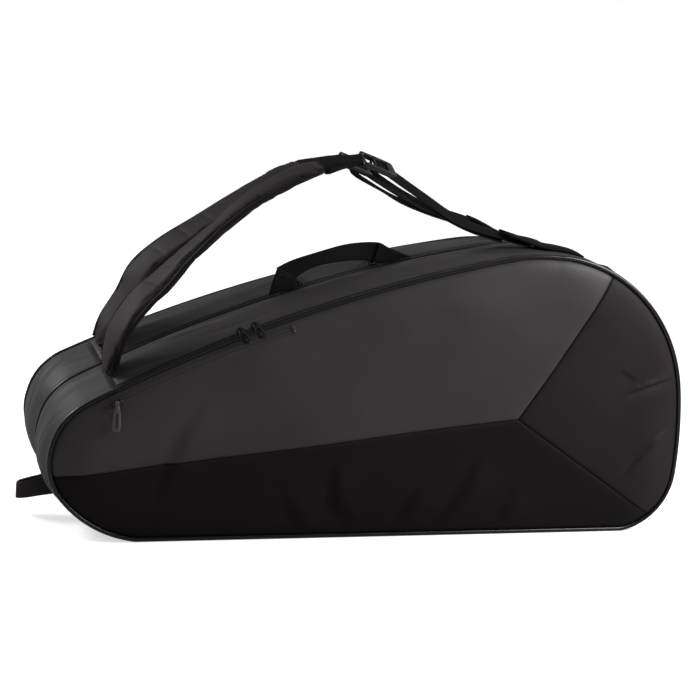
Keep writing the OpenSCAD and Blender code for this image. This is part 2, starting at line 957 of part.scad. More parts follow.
// Room that follows the belly, out to a radius
module belly(r) {
    translate([toe_c.x, 0, toe_c.y])
        rotate([90, 0, 0])
            cylinder(r = r, h = 4 * loop_gap, center = true, $fn = 128);
}

// Long rounded block, as wide as twice its half width
module loop_block(half, height) {
    straight = loop_l - loop_gap / 2 - loop_t;
    translate([0, 0, -height / 2])
        linear_extrude(height) {
            translate([straight, 0]) circle(r = half);
            translate([-loop_l, -half]) square([straight + loop_l, 2 * half]);
        }
}

// Two layers of webbing lie flat at the seam and part to form the loop
module end_loop() {
    color("#131212")
        difference() {
            at_loop() loop_block(loop_gap / 2 + loop_t, loop_w);
            belly(loop_root);
            difference() {
                belly(loop_root + loop_neck);
                cube([4 * toe_r + 4 * nose_x, 2 * loop_t, 4 * toe_r], center = true);
            }
            difference() {
                at_loop() loop_block(loop_gap / 2, 2 * loop_w);
                belly(loop_root + loop_neck + loop_t);
            }
        }
}

divider_panel();
mid_piping();
front_top_gusset();
front_base_gusset();
rear_base_gusset();
front_base_board();
rear_base_board();
front_zip_gusset_tape();
rear_zip_seam_tape();
front_strap_tabs();
front_upper_panel();
front_lower_panel();
front_tip_panel();
front_piping();
front_padding();
front_lining();
front_zip_panel_tape();
front_zip_coil();
pocket_zip_tape();
pocket_zip_coil();
rear_upper_panel();
rear_lower_panel();
rear_tip_panel();
rear_piping();
rear_padding();
rear_lining();
rear_top_gusset();
rear_zip_gusset_tape();
rear_zip_coil();
rear_strap_tabs();
front_left_slider();
front_right_slider();
rear_left_slider();
rear_right_slider();
pocket_slider();
front_left_pull();
front_right_pull();
rear_left_pull();
rear_right_pull();
pocket_pull();
grab_handle();
end_loop();
front_strap_pad();
front_strap_sleeve();
front_ladder_lock();
front_strap_webbing();
rear_strap_pad();
rear_strap_sleeve();
rear_ladder_lock();
rear_strap_webbing();
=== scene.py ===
"""Racket bag with two zipped compartments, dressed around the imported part: metres, Z up, front at -Y."""
import math

import bmesh
import bpy
import numpy as np
from mathutils import Matrix, Vector, kdtree
from mathutils.geometry import delaunay_2d_cdt


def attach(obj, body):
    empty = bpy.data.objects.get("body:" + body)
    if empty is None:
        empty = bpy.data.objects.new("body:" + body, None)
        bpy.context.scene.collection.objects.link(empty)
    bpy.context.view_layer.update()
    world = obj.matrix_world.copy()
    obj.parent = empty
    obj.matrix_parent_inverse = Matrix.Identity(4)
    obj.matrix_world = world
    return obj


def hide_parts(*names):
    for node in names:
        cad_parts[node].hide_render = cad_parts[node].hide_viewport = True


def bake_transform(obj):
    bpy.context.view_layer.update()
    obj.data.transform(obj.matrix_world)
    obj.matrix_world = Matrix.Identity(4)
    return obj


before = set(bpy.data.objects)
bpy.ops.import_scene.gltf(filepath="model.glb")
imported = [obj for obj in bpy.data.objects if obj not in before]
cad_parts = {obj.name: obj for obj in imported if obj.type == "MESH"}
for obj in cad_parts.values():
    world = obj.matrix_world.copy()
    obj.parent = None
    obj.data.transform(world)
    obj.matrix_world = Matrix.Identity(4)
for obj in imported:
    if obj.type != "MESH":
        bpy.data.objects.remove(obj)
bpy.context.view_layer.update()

# Lengths below are millimetres, and become metres when a mesh is made
MM = 0.001
GUSSET_D = 103.0
ZIP_W = 14.0
ZIP_S = 7.0
EDGE = 2.5
WALL = 3.0
PIPE_R = 2.2
SWELL = 8.0
MID_DROP = 7.0
REAR_DROP = 22.0
PANEL_T = 2.4
FRONT_CROWN = 11.0
BACK_CROWN = 14.5
COVER_ROLL = 54.0
STRAP_Y = 51.5
WEB_W = 25.0
WEB_T = 1.8

# Circles of the side outline: centres (x, z) and radii
HEEL = np.array([309.0, 74.2])
HEEL_R = 72.0
CROWN = np.array([181.0, 142.2])
CROWN_R = 194.0
NOSE = np.array([-301.0, 98.2])
NOSE_R = 69.0
TOE = np.array([-242.442, 148.2])
TOE_R = 146.0
SIDE_R = 546.0
TOP_R = 1757.0
ZIP_RIGHT = 60.0
ZIP_LEFT_X = -301.0

# Steps along each arc of the outline, and where the zipped top starts and ends
STEPS = (28, 30, 24, 40, 110, 5, 30, 44, 110)
COUNT = sum(STEPS)
TOP_FIRST = sum(STEPS[:3])
TOP_LAST = sum(STEPS[:5])

# How far the tall end and the low corner stand out past the arcs, and the steps between which they do
TALL_END_FULL = 3.5
TALL_FULL_LAST = TOP_FIRST + 24
LOW_END_FULL = 4.0
LOW_FULL_FIRST = 252

# Seams of a cover: their common point and the directions they run from it, in degrees
SEAM_POINT = np.array([166.0, 145.0])
SEAM_TURNS = (59.0, 187.23, 327.0)


# Materials

def linear(code):
    """Scene colour of an sRGB hex code"""
    parts = [int(code[k:k + 2], 16) / 255 for k in (1, 3, 5)]
    return tuple(c / 12.92 if c <= 0.04045 else ((c + 0.055) / 1.055) ** 2.4 for c in parts) + (1.0,)


def add(tree, kind, inputs=None, **settings):
    """Adds a shader node with its settings, and its sockets by name or number"""
    node = tree.nodes.new("ShaderNode" + kind)
    for key, value in settings.items():
        setattr(node, key, value)
    for key, value in (inputs or {}).items():
        if isinstance(value, bpy.types.NodeSocket):
            tree.links.new(value, node.inputs[key])
        else:
            node.inputs[key].default_value = value
    return node


def emptied(owner):
    """Node tree of a material or a world, with nothing in it"""
    owner.use_nodes = True
    owner.node_tree.nodes.clear()
    return owner.node_tree


# A wave texture repeats after this share of a metre at scale 1
WAVE_PERIOD = math.pi / 10


def weave(tree, spot, gaps):
    """Height of crossed yarns with these spacings along and across"""
    rows = {}
    for k, axis in enumerate("XY"):
        inputs = {"Vector": spot, "Scale": WAVE_PERIOD / (gaps[k] * MM), "Distortion": 0.6, "Detail": 1.0}
        rows[k] = add(tree, "TexWave", inputs, bands_direction=axis).outputs["Fac"]
    return add(tree, "Math", rows, operation="MULTIPLY").outputs["Value"]


# Range of the noise that goes from one shade to the other, and how far roughness follows it
PATCH_RANGE = (0.3, 0.7)
ROUGH_SPREAD = 0.06


def surface(name, shades, patch, relief, depth, rough, shine, others=None):
    """Material in patches of two shades, which its roughness follows, with a bump of yarns or grain"""
    material = bpy.data.materials.new(name)
    tree = emptied(material)
    if isinstance(relief, tuple):
        spot = add(tree, "Attribute", attribute_name="cloth").outputs["Vector"]
        height = weave(tree, spot, relief)
    else:
        spot = add(tree, "TexCoord").outputs["Object"]
        grain = {"Vector": spot, "Scale": 1 / (relief * MM), "Detail": 3.0}
        height = add(tree, "TexNoise", grain).outputs["Fac"]
    blotches = {"Vector": spot, "Scale": 1 / (patch * MM), "Detail": 5.0}
    patches = add(tree, "TexNoise", blotches).outputs["Fac"]
    colour = add(tree, "ValToRGB", {"Fac": patches})
    for stop, code, at in zip(colour.color_ramp.elements, shades, PATCH_RANGE):
        stop.color = linear(code)
        stop.position = at
    spread = add(tree, "MapRange", {
        "Value": patches, "From Min": PATCH_RANGE[0], "From Max": PATCH_RANGE[1],
        "To Min": rough - ROUGH_SPREAD, "To Max": rough + ROUGH_SPREAD})
    bump = add(tree, "Bump", {"Height": height, "Strength": 1.0, "Distance": depth * MM})
    shader = add(tree, "BsdfPrincipled", {
        "Base Color": colour.outputs["Color"], "Roughness": spread.outputs["Result"],
        "Normal": bump.outputs["Normal"], "Specular IOR Level": shine, **(others or {})})
    add(tree, "OutputMaterial", {"Surface": shader.outputs["BSDF"]})
    return material


# Two shades, size of their patches, yarn spacings or grain size, depth of the bump, roughness, shine,
# and other inputs. Yarn and grain are drawn coarser than they are, so that they show
LOOKS = {
    # Charcoal cloth with a smooth coat: an even, slightly satin face with barely visible yarn
    "coated_cloth": (("#322d2e", "#393435"), 90, (1.3, 1.3), 0.05, 0.5, 0.2, {"Sheen Weight": 0.01}),
    # Deep black woven cloth: matt, with a yarn that only just shows
    "black_weave": (("#120e0f", "#161213"), 120, (1.4, 1.4), 0.12, 0.66, 0.08),
    # Woven cloth a shade lighter than the black one, with the same matt yarn
    "dark_weave": (("#1a1415", "#201a1b"), 120, (1.4, 1.4), 0.12, 0.6, 0.12, {"Sheen Weight": 0.01}),
    # Charcoal cloth of the gussets: soft sheen on its folds
    "gusset_cloth": (("#2a2627", "#332f30"), 100, (1.3, 1.3), 0.08, 0.52, 0.22, {"Sheen Weight": 0.02}),
    # Plain dark cloth between the compartments
    "divider_cloth": (("#272425", "#2f2c2d"), 80, (1.6, 1.6), 0.12, 0.7, 0.2),
    # Thin grey lining with an open weave
    "lining_cloth": (("#353233", "#403c3e"), 70, (1.8, 1.8), 0.15, 0.6, 0.25),
    # Black vinyl cord cover: smooth, with the bright line of light that runs along the seams
    "piping_vinyl": (("#0b0909", "#110f0f"), 50, 1.2, 0.02, 0.27, 0.36),
    # Knitted zip tape with fine ribs along it
    "zip_tape_cloth": (("#0a0808", "#0e0c0c"), 50, (2.0, 1.2), 0.12, 0.66, 0.08),
    # Black nylon coil: a row of small glints
    "coil_nylon": (("#0a0909", "#0f0d0d"), 30, 0.8, 0.01, 0.34, 0.35),
    # Painted zinc slider: black, smooth, worn a little lighter in patches
    "slider_paint": (("#090808", "#110f0f"), 6, 0.9, 0.015, 0.3, 0.4, {"Metallic": 0.1}),
    # Moulded black pull with a fine grain
    "pull_plastic": (("#090808", "#100e0e"), 12, 0.7, 0.05, 0.36, 0.28),
    # Softer, greyer pull of the pocket zip; its grey is lifted further as painted highlight for the bright
    # edges that catch the light
    "grey_pocket_pull_painted_highlight": (("#3d3839", "#4d4849"), 10, 0.7, 0.04, 0.4, 0.5),
    # Black webbing of the end loop, painted a shade paler than the handle's as painted light: the light its
    # end catches from the left
    "loop_webbing_painted_light": (("#2a2627", "#332f30"), 50, (2.0, 1.5), 0.3, 0.6, 0.2),
    # Black webbing: ribs across its length and a fine row of yarn along it
    "webbing": (("#0e0c0b", "#141211"), 50, (2.0, 1.5), 0.3, 0.6, 0.15, {"Sheen Weight": 0.01}),
    # Black nylon webbing of the straps, with painted shade: coloured darker than the handle's webbing to
    # take off the stronger light that falls on the straps. Fine ribs, hardly any shine
    "strap_nylon": (("#080707", "#0d0b0a"), 50, (2.0, 1.5), 0.3, 0.68, 0.08),
    # Warm charcoal cloth over soft foam, with a light sheen
    "strap_pad_cloth": (("#211819", "#281f21"), 70, (1.3, 1.3), 0.08, 0.58, 0.14, {"Sheen Weight": 0.02}),
    # Hard black acetal with a satin face
    "buckle_plastic": (("#111010", "#1a1818"), 10, 0.6, 0.008, 0.32, 0.45),
    # Dull sheet of stiff plastic in the bottom
    "base_plastic": (("#171616", "#1f1e1e"), 50, 1.5, 0.05, 0.5, 0.4),
    # Black sewing thread with a dull shine
    "thread": (("#141313", "#232121"), 10, 0.5, 0.03, 0.5, 0.4)}
LOOK = {name: surface(name, *row) for name, row in LOOKS.items()}


# Meshes

def linked(name, data):
    """New object in the scene"""
    obj = bpy.data.objects.new(name, data)
    bpy.context.scene.collection.objects.link(obj)
    return obj


def make(name, points, faces, look, cloth=None):
    """Mesh object from points in millimetres; cloth holds their places in the cloth, in millimetres"""
    mesh = bpy.data.meshes.new(name)
    mesh.from_pydata((np.asarray(points, float) * MM).tolist(), [], [tuple(map(int, f)) for f in faces])
    closed = bmesh.new()
    closed.from_mesh(mesh)
    bmesh.ops.recalc_face_normals(closed, faces=closed.faces)
    closed.to_mesh(mesh)
    closed.free()
    mesh.materials.append(LOOK[look])
    mesh.shade_smooth()
    obj = linked(name, mesh)
    if cloth is not None:
        set_cloth(obj, cloth)
    return obj


def set_cloth(obj, cloth):
    """Keeps each point's place in its cloth for the weave"""
    layer = obj.data.attributes.new("cloth", "FLOAT_VECTOR", "POINT")
    flat = np.zeros((len(cloth), 3), np.float32)
    flat[:, :2] = np.asarray(cloth) * MM
    layer.data.foreach_set("vector", flat.ravel())


def place(obj, body, slot, *nodes):
    """Puts a finished piece on its body and hides the nodes it stands for; its slot is not used"""
    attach(obj, body)
    declare(obj, slot, *nodes)


def declare(obj, slot, *nodes):
    """Hides the imported nodes that a piece stands for; its slot is not used"""
    if nodes:
        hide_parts(*nodes)


def shell(name, outer, inner, faces, look, cloth):
    """Closed cloth between an outer and an inner sheet with the same faces"""
    n = len(outer)
    sides = {(f[k], f[(k + 1) % len(f)]) for f in faces for k in range(len(f))}
    rim = [(b, a, a + n, b + n) for a, b in sorted(sides) if (b, a) not in sides]
    back = [tuple(k + n for k in reversed(f)) for f in faces]
    return make(name, np.concatenate([outer, inner]), list(faces) + back + rim, look,
                np.concatenate([cloth, cloth]))


def sheet(name, outer, inner, look, cloth):
    """Closed cloth between two grids of points"""
    rows, cols = np.shape(outer)[:2]
    faces = [(k, k + 1, k + cols + 1, k + cols)
             for row in range(rows - 1) for k in range(row * cols, (row + 1) * cols - 1)]
    outer, inner = (np.reshape(grid, (-1, 3)) for grid in (outer, inner))
    return shell(name, outer, inner, faces, look, np.reshape(cloth, (-1, 2)))


def lofted(rings, closed=False):
    """Points and faces of a solid through rings of equal counts: a closed loop, or with flat ends"""
    rings = np.asarray(rings, float)
    m, n = rings.shape[:2]
    faces = [
        (i * n + j, i * n + (j + 1) % n, (i + 1) % m * n + (j + 1) % n, (i + 1) % m * n + j)
        for i in range(m if closed else m - 1) for j in range(n)]
    if not closed:
        faces += [tuple(range(n)), tuple(range((m - 1) * n, m * n))]
    return rings.reshape(-1, 3), faces


def joined(parts):
    """Points and faces of several solids as one"""
    points, faces, start = [], [], 0
    for part, part_faces in parts:
        points.append(part)
        faces += [tuple(k + start for k in f) for f in part_faces]
        start += len(part)
    return np.concatenate(points), faces


def unit(v):
    """Vectors of length one"""
    return v / np.linalg.norm(v, axis=-1, keepdims=True)


def points_of(*columns):
    """Points from their coordinates; what is the same for all of them is given once"""
    return np.stack(np.broadcast_arrays(*columns), -1)


def left_of(v):
    """Flat vectors turned to their left"""
    return points_of(-v[..., 1], v[..., 0])


def ahead_on(path):
    """Direction along a path at each of its points"""
    return unit(np.gradient(path, axis=0))


def lengths(path):
    """Length along a path at each of its points"""
    steps = np.linalg.norm(np.diff(path, axis=0), axis=1)
    return np.concatenate([[0.0], np.cumsum(steps)])


def along_path(want, at, path):
    """Values of a path at some lengths along it"""
    return np.stack([np.interp(want, at, path[:, k]) for k in range(path.shape[1])], 1)


def resampled(path, count):
    """The same path with evenly spaced points"""
    path = np.asarray(path, float)
    at = lengths(path)
    return along_path(np.linspace(0, at[-1], count), at, path)


def smooth_path(points, count):
    """Smooth curve through points, evenly spaced"""
    p = np.asarray(points, float)
    p = np.concatenate([[2 * p[0] - p[1]], p, [2 * p[-1] - p[-2]]])
    curve = []
    for k in range(1, len(p) - 2):
        for t in np.linspace(0, 1, 12, endpoint=False):
            curve.append(0.5 * (
                2 * p[k] + (p[k + 1] - p[k - 1]) * t
                + (2 * p[k - 1] - 5 * p[k] + 4 * p[k + 1] - p[k + 2]) * t * t
                + (3 * p[k] - p[k - 1] - 3 * p[k + 1] + p[k + 2]) * t ** 3))
    curve.append(p[-2])
    return resampled(curve, count)


def full_turn(count):
    """Angles of a full turn, in radians"""
    return np.linspace(0, 2 * np.pi, count, endpoint=False)


def blocky(count, power_x, power_y):
    """Cosines and sines of a full turn, drawn out to the corners by powers below one"""
    a = full_turn(count)
    waves = ((np.cos(a), power_x), (np.sin(a), power_y))
    return [np.sign(v) * np.abs(v) ** power for v, power in waves]


def tube(path, radius, sides=8, closed=False):
    """Round solid along a path"""
    path = np.asarray(path, float)
    ahead = unit(np.roll(path, -1, 0) - np.roll(path, 1, 0)) if closed else ahead_on(path)
    start = np.eye(3)[np.argmin(np.abs(ahead[0]))]
    u = unit(start - ahead[0] * np.dot(start, ahead[0]))
    turns = full_turn(sides)[:, None]
    rings = []
    for p, way, r in zip(path, ahead, np.broadcast_to(radius, len(path))):
        u = unit(u - way * np.dot(u, way))
        rings.append(p + r * (np.cos(turns) * u + np.sin(turns) * np.cross(way, u)))
    return lofted(rings, closed)


def flat_tube(path, side, wide, thick, corners):
    """Points and faces of a flat solid along a path; side is the direction of its width"""
    up = np.cross(ahead_on(path), side)
    c, s = corners
    return lofted(path[:, None] + side[:, None] * (wide[:, None] / 2 * c)[..., None]
                  + up[:, None] * (thick[:, None] / 2 * s)[..., None])


# A stitch: shares of its length, and how far it lies out of the cloth there
STITCH_AT = np.array([0.0, 0.2, 0.5, 0.8, 1.0])
STITCH_LIFT = np.array([-0.9, 0.2, 0.45, 0.2, -0.9])[:, None]
STITCH_SIDES = 5
STITCH_TIP = 0.45


def stitches(name, lines, length=3.4, gap=1.7, radius=0.38):
    """Rows of stitches with drawn-in ends; each line is a path and the direction out of its cloth"""
    parts = []
    for path, out in lines:
        path = np.asarray(path, float)
        at = lengths(path)
        out = np.broadcast_to(np.asarray(out, float), path.shape)
        for start in np.arange(gap / 2, at[-1] - length, length + gap):
            want = start + length * STITCH_AT
            line = along_path(want, at, path) + along_path(want, at, out) * (radius * STITCH_LIFT)
            points, faces = tube(line, radius, STITCH_SIDES)
            for ring in (points[:STITCH_SIDES], points[-STITCH_SIDES:]):
                ring[:] = ring.mean(0) + (ring - ring.mean(0)) * STITCH_TIP
            parts.append((points, faces))
    return make(name, *joined(parts), "thread")


# Side outline of the bag

def turn(v):
    """Direction of a flat vector in degrees, from -90 to 270"""
    angle = math.degrees(math.atan2(v[1], v[0]))
    return angle + 360 if angle < -90 else angle


def way_at(angle):
    """Flat direction at an angle in degrees"""
    a = np.radians(angle)
    return points_of(np.cos(a), np.sin(a))


def touching_centre(c1, r1, c2, r2, r):
    """Centre of the arc of radius r that holds two circles and touches both"""
    d = np.linalg.norm(c2 - c1)
    along = (c2 - c1) / d
    a = r - r1
    b = r - r2
    x = (a * a - b * b + d * d) / (2 * d)
    return c1 + along * x + left_of(along) * math.sqrt(a * a - x * x)


def top_centre(drop):
    """Centre of the long sloping top edge"""
    return touching_centre(CROWN - (0, drop), CROWN_R, NOSE, NOSE_R, TOP_R)


def top_angle(drop, x):
    """Angle on the sloping top edge at a place along the bag, in degrees"""
    return math.degrees(math.acos((x - top_centre(drop)[0]) / TOP_R))


def fullness():
    """How far the tall end and the low corner stand out past the plain arcs of the outline"""
    corner = np.arange(COUNT - STEPS[-1])
    tall = np.clip(corner / TALL_FULL_LAST, 0, 1)
    low = np.clip((corner - LOW_FULL_FIRST) / (len(corner) - LOW_FULL_FIRST), 0, 1)
    return TALL_END_FULL * np.sin(np.pi * tall) ** 0.6 + LOW_END_FULL * np.sin(np.pi * low) ** 0.8


def outline(drop, out=0.0):
    """Points (x, z) of the side outline and their outward directions, from the low corner round the top"""
    crown = CROWN - (0, drop)
    top = top_centre(drop)
    side = touching_centre(HEEL, HEEL_R, crown, CROWN_R, SIDE_R)
    arcs = (
        (HEEL, HEEL_R), (side, SIDE_R), (crown, CROWN_R), (crown, CROWN_R), (top, TOP_R), (top, TOP_R),
        (NOSE, NOSE_R), (TOE, TOE_R))
    turns = (
        -90, turn(HEEL - side), turn(crown - side), ZIP_RIGHT, turn(crown - top),
        top_angle(drop, ZIP_LEFT_X), turn(NOSE - top), turn(NOSE - TOE), 270)
    points = []
    ways = []
    for k, (centre, r) in enumerate(arcs):
        a = np.linspace(turns[k], turns[k + 1], STEPS[k], endpoint=False)
        ways.append(way_at(a))
        points.append(centre + ways[-1] * (r + out))
    points = np.concatenate(points) + np.concatenate(ways) * fullness()[:, None]
    points[:, 1] = np.maximum(points[:, 1], PIPE_R - out)
    base = points_of(np.linspace(TOE[0], HEEL[0], STEPS[-1], endpoint=False), PIPE_R - out)
    down = np.tile([0.0, -1.0], (len(base), 1))
    return np.concatenate([points, base]), np.concatenate([*ways, down])


def across(y):
    """Share of a gusset's width that lies before a depth"""
    depth = y + GUSSET_D if y < 0 else y
    return min(1.0, max(0.0, (depth - ZIP_W) / (GUSSET_D - ZIP_W)))


def swell(y):
    """How far a gusset swells at a depth"""
    return SWELL * (1 - (2 * across(y) - 1) ** 2)


def drop_at(y):
    """How far the round top lies below the front one at a depth"""
    return MID_DROP * across(y) if y < 0 else MID_DROP + (REAR_DROP - MID_DROP) * across(y)


def on_edge(flat, y):
    """Points in space of flat points (x, z) at a depth, or at a depth each"""
    return points_of(flat[..., 0], y, flat[..., 1])


OUTLINE_AT = lengths(np.concatenate([outline(0)[0], outline(0)[0][:1]]))

# Where the round top and the nose are drawn flat: place, share of the swell that is lost, and width
CROWN_AT = OUTLINE_AT[np.argmax(outline(0)[0][:, 1])]
NOSE_AT = OUTLINE_AT[sum(STEPS[:6]) + 8]
FLAT_SPOTS = ((CROWN_AT, 0.75, 125), (NOSE_AT, 0.45, 70))


def puff(at):
    """Share of a gusset's swell along the outline"""
    return 1 - sum(lost * np.exp(-((at - middle) / width) ** 2) for middle, lost, width in FLAT_SPOTS)


FOLD_COUNT = 260
FOLD_LIMIT = 3.5


def folds(s, t, seed):
    """Folds of loose cloth at s along and t across: a slow wave under many short, sharp ones"""
    slow = 0.55 + 0.45 * np.sin(s / 118 + 1.7 * seed)
    bend = 0.10 * np.sin(s / 83 + seed) + 0.07 * np.sin(s / 37 + 2.1 * seed)
    rise = 1.5 * slow * np.sin(2 * np.pi * (1.6 * t + bend) + s / 210)
    draw = np.random.default_rng(round(10 * seed))
    middle = draw.uniform(0, 2 * OUTLINE_AT[-1], FOLD_COUNT)
    depth = draw.uniform(0, GUSSET_D, FOLD_COUNT)
    lean = draw.uniform(-0.45, 0.45, FOLD_COUNT)
    reach = draw.uniform(16, 55, FOLD_COUNT)
    width = draw.uniform(2.5, 5.5, FOLD_COUNT)
    high = draw.uniform(0.7, 2.3, FOLD_COUNT) * np.where(draw.random(FOLD_COUNT) < 0.65, 1, -1)
    run = s[:, None] - middle
    gap = np.abs(t * GUSSET_D - depth - lean * run)
    rise = rise + np.sum(high * np.exp(-gap / width - (run / reach) ** 2), axis=1)
    fade = min(math.sin(math.pi * t) ** 0.6, 2.2 * (1 - t))
    return np.clip(rise, -FOLD_LIMIT, FOLD_LIMIT) * fade


def band(name, depths, first, last, high, thick, look, seed=None):
    """Band of cloth that follows the outline between two corners, at a list of depths"""
    along = np.arange(first, last + 1)
    at = OUTLINE_AT[along % COUNT] + OUTLINE_AT[-1] * (along // COUNT)
    outer = []
    inner = []
    cloth = []
    for y in depths:
        line, way = outline(drop_at(y), high)
        way = way[along % COUNT]
        line = line[along % COUNT] + way * (swell(y) * puff(at))[:, None]
        low = line - way * thick
        if seed is not None:
            rise = folds(at, across(y), seed) * np.clip((line[:, 1] - 6) / 30, 0, 1)
            line = line + way * rise[:, None]
        line[:, 1] = np.maximum(line[:, 1], 0.0)
        low[:, 1] = np.maximum(low[:, 1], thick)
        outer.append(on_edge(line, y))
        inner.append(on_edge(low, y))
        cloth.append(points_of(at, y))
    return sheet(name, outer, inner, look, cloth)


def rod_path(y, drop, first, last, out):
    """Path that follows the outline at a depth, out from the seam line"""
    return on_edge(outline(drop, out)[0][np.arange(first, last + 1) % COUNT], y)


COIL_PITCH = 2.2
REARWARD = np.array([0.0, 1.0, 0.0])


def spiral(path, wide, high):
    """Coil of yarn round a path that lies in a plane of constant depth"""
    fine = resampled(path, int(lengths(path)[-1] / COIL_PITCH * 8))
    ahead = ahead_on(fine)
    out = points_of(-ahead[:, 2], 0, ahead[:, 0])
    a = lengths(fine) / COIL_PITCH * 2 * np.pi
    return fine + out * (high * np.cos(a))[:, None] + REARWARD * (wide * np.sin(a))[:, None]


# Covers

def seam_gap(flat):
    """Distance of flat points from the nearest seam"""
    rel = flat - SEAM_POINT
    gaps = []
    for angle in SEAM_TURNS:
        way = way_at(angle)
        on_seam = np.maximum(rel @ way, 0)[:, None] * way
        gaps.append(np.linalg.norm(rel - on_seam, axis=1))
    return np.min(gaps, axis=0)


def inset_of(flat, drop):
    """How far flat points lie inside the outline"""
    line, way = outline(drop)
    tree = kdtree.KDTree(COUNT)
    for k, p in enumerate(line):
        tree.insert((p[0], p[1], 0), k)
    tree.balance()
    near = np.array([tree.find((p[0], p[1], 0))[1] for p in flat])
    return np.sum((line[near] - flat) * way[near], axis=1)


# Rows of points inside a cover's edge, beside its seams and across a crease in widths of it
COVER_INSETS = (3.6, 5.2, 7.5, 10.5, 14.0, 18.5, 24.0)
SEAM_ROWS = (-3.2, -1.7, -0.8, 0.8, 1.7, 3.2)
CREASE_ROWS = (-2.8, -1.9, -1.2, -0.6, 0, 0.6, 1.2, 1.9, 2.8)
SEAM_STEP = 4.0
SEAM_REACH = 620
# Room that holds every cover, and the height of a row of hexagons to their spacing
SHEET_X = (-380, 400)
SHEET_Z = (0, 380)
HEX_ROW = 0.866
# Spacing of points in a cover's outer cloths, and in the plain walls inside
COVER_GAP = 6.0
WALL_GAP = 12.0


def cover_sheet(drop, inset, gap, seams, creases=()):
    """Flat points and triangles of a cover, with edges along its seams"""
    columns = np.arange(*SHEET_X, gap)
    rows = enumerate(np.arange(*SHEET_Z, gap * HEX_ROW))
    hexes = np.concatenate([points_of(columns + gap / 2 * (k % 2), z) for k, z in rows])
    hexes = hexes[inset_of(hexes, drop) > COVER_INSETS[-1] + gap * 0.7]
    loose = np.concatenate([outline(drop, -inset - i + EDGE)[0] for i in COVER_INSETS] + [hexes])
    for path, _, width in creases:
        line = resampled(path, 30)
        away = np.linalg.norm(loose[:, None] - line[None], axis=2).min(1)
        out = left_of(ahead_on(line))
        rows = np.concatenate([line + out * width * k for k in CREASE_ROWS])
        loose = np.concatenate([loose[away > 3.4 * width], rows[inset_of(rows, drop) > inset + 1.5]])
    edges = [(k, (k + 1) % COUNT) for k in range(COUNT)]
    points = [outline(drop, -inset)[0]]
    if seams:
        loose = loose[seam_gap(loose) > 4.2]
        start = COUNT
        s = np.arange(0, SEAM_REACH, SEAM_STEP)[:, None]
        for angle in SEAM_TURNS:
            way = way_at(angle)
            line = SEAM_POINT + s * way
            line = line[inset_of(line, drop) > inset - 6]
            edges += [(start + k, start + k + 1) for k in range(len(line) - 1)]
            start += len(line)
            points.append(line)
            for off in SEAM_ROWS:
                row = SEAM_POINT + (s[1:] - SEAM_STEP / 2) * way + off * left_of(way)
                keep = (inset_of(row, drop) > inset + 1.2) & (seam_gap(row) > abs(off) - 0.05)
                loose = np.concatenate([loose, row[keep]])
    flat = np.concatenate([*points, loose])
    found = delaunay_2d_cdt([Vector(p) for p in flat], edges, [], 0, 1e-4)
    flat = np.array([(p.x, p.y) for p in found[0]])
    faces = np.array([f for f in found[2] if len(f) == 3])
    return flat, faces[inset_of(flat[faces].mean(1), drop) > inset - 0.02]


def wall(name, flat, faces, middle, thick, look):
    """Closed cloth over flat points and triangles, about a depth of each point"""
    outer = on_edge(flat, middle + thick / 2)
    inner = on_edge(flat, middle - thick / 2)
    return shell(name, outer, inner, [tuple(f) for f in faces], look, flat)


def roll(inset, crown):
    """Height of a cover's rounded edge and its crowned middle"""
    t = np.clip((inset - EDGE) / COVER_ROLL, 0, 1)
    return crown * np.sin(np.pi / 2 * t ** 0.8)


def crease(flat, path, depth, width):
    """Height of a fold along a path: steep on its left under a soft ridge, slow on its right"""
    path = resampled(path, 40)
    near = np.argmin(np.linalg.norm(flat[:, None] - path[None], axis=2), axis=1)
    rel = flat - path[near]
    gap = np.linalg.norm(rel, axis=1)
    left = np.sum(left_of(ahead_on(path))[near] * rel, axis=1) > 0
    fade = np.sin(np.pi * np.clip(near / 39, 0.02, 0.98)) ** 0.6
    valley = -np.exp(-(gap / np.where(left, width, 4.5 * width)) ** 2)
    ridge = 0.7 * np.exp(-((gap - 2.4 * width) / (1.5 * width)) ** 2) * left
    return depth * fade * (valley + ridge)


# Folds that the front cover shows: path, depth (below zero for a ridge) and width
FRONT_CREASES = (
    (((300, 175), (317, 181), (336, 187), (364, 195)), 2.8, 1.4),
    (((287, 203), (299, 198), (310, 192)), 0.8, 2.2),
    (((314, 75), (330, 97), (348, 118), (368, 134)), -2.6, 2.9),
    (((-323, 147), (-317, 152), (-314, 156)), 1.6, 2.4),
    (((-316, 146), (-309, 150), (-303, 156)), 1.2, 2.0),
    (((-249, 42), (-233, 86), (-221, 123), (-200, 160)), -2.2, 6.0),
    (((-75, 16), (-90, 37), (-104, 57)), -2.6, 5.0),
    (((-14, 19), (-44, 50), (-46, 92)), -3.0, 5.0),
    (((38, 21), (48, 40), (60, 60)), -2.6, 5.0),
    (((91, 22), (111, 56), (130, 91)), -3.0, 5.0),
    (((161, 18), (171, 36), (182, 53)), -2.4, 5.0))
# Folds narrower than this get rows of points of their own
SHARP_CREASE = 3

PANELS = (
    ("upper", SEAM_TURNS[0], SEAM_TURNS[1], "coated_cloth"),
    ("lower", SEAM_TURNS[1], SEAM_TURNS[2], "black_weave"),
    ("tip", SEAM_TURNS[2], SEAM_TURNS[0] + 360, "dark_weave"))
PANEL_GAP = 0.18


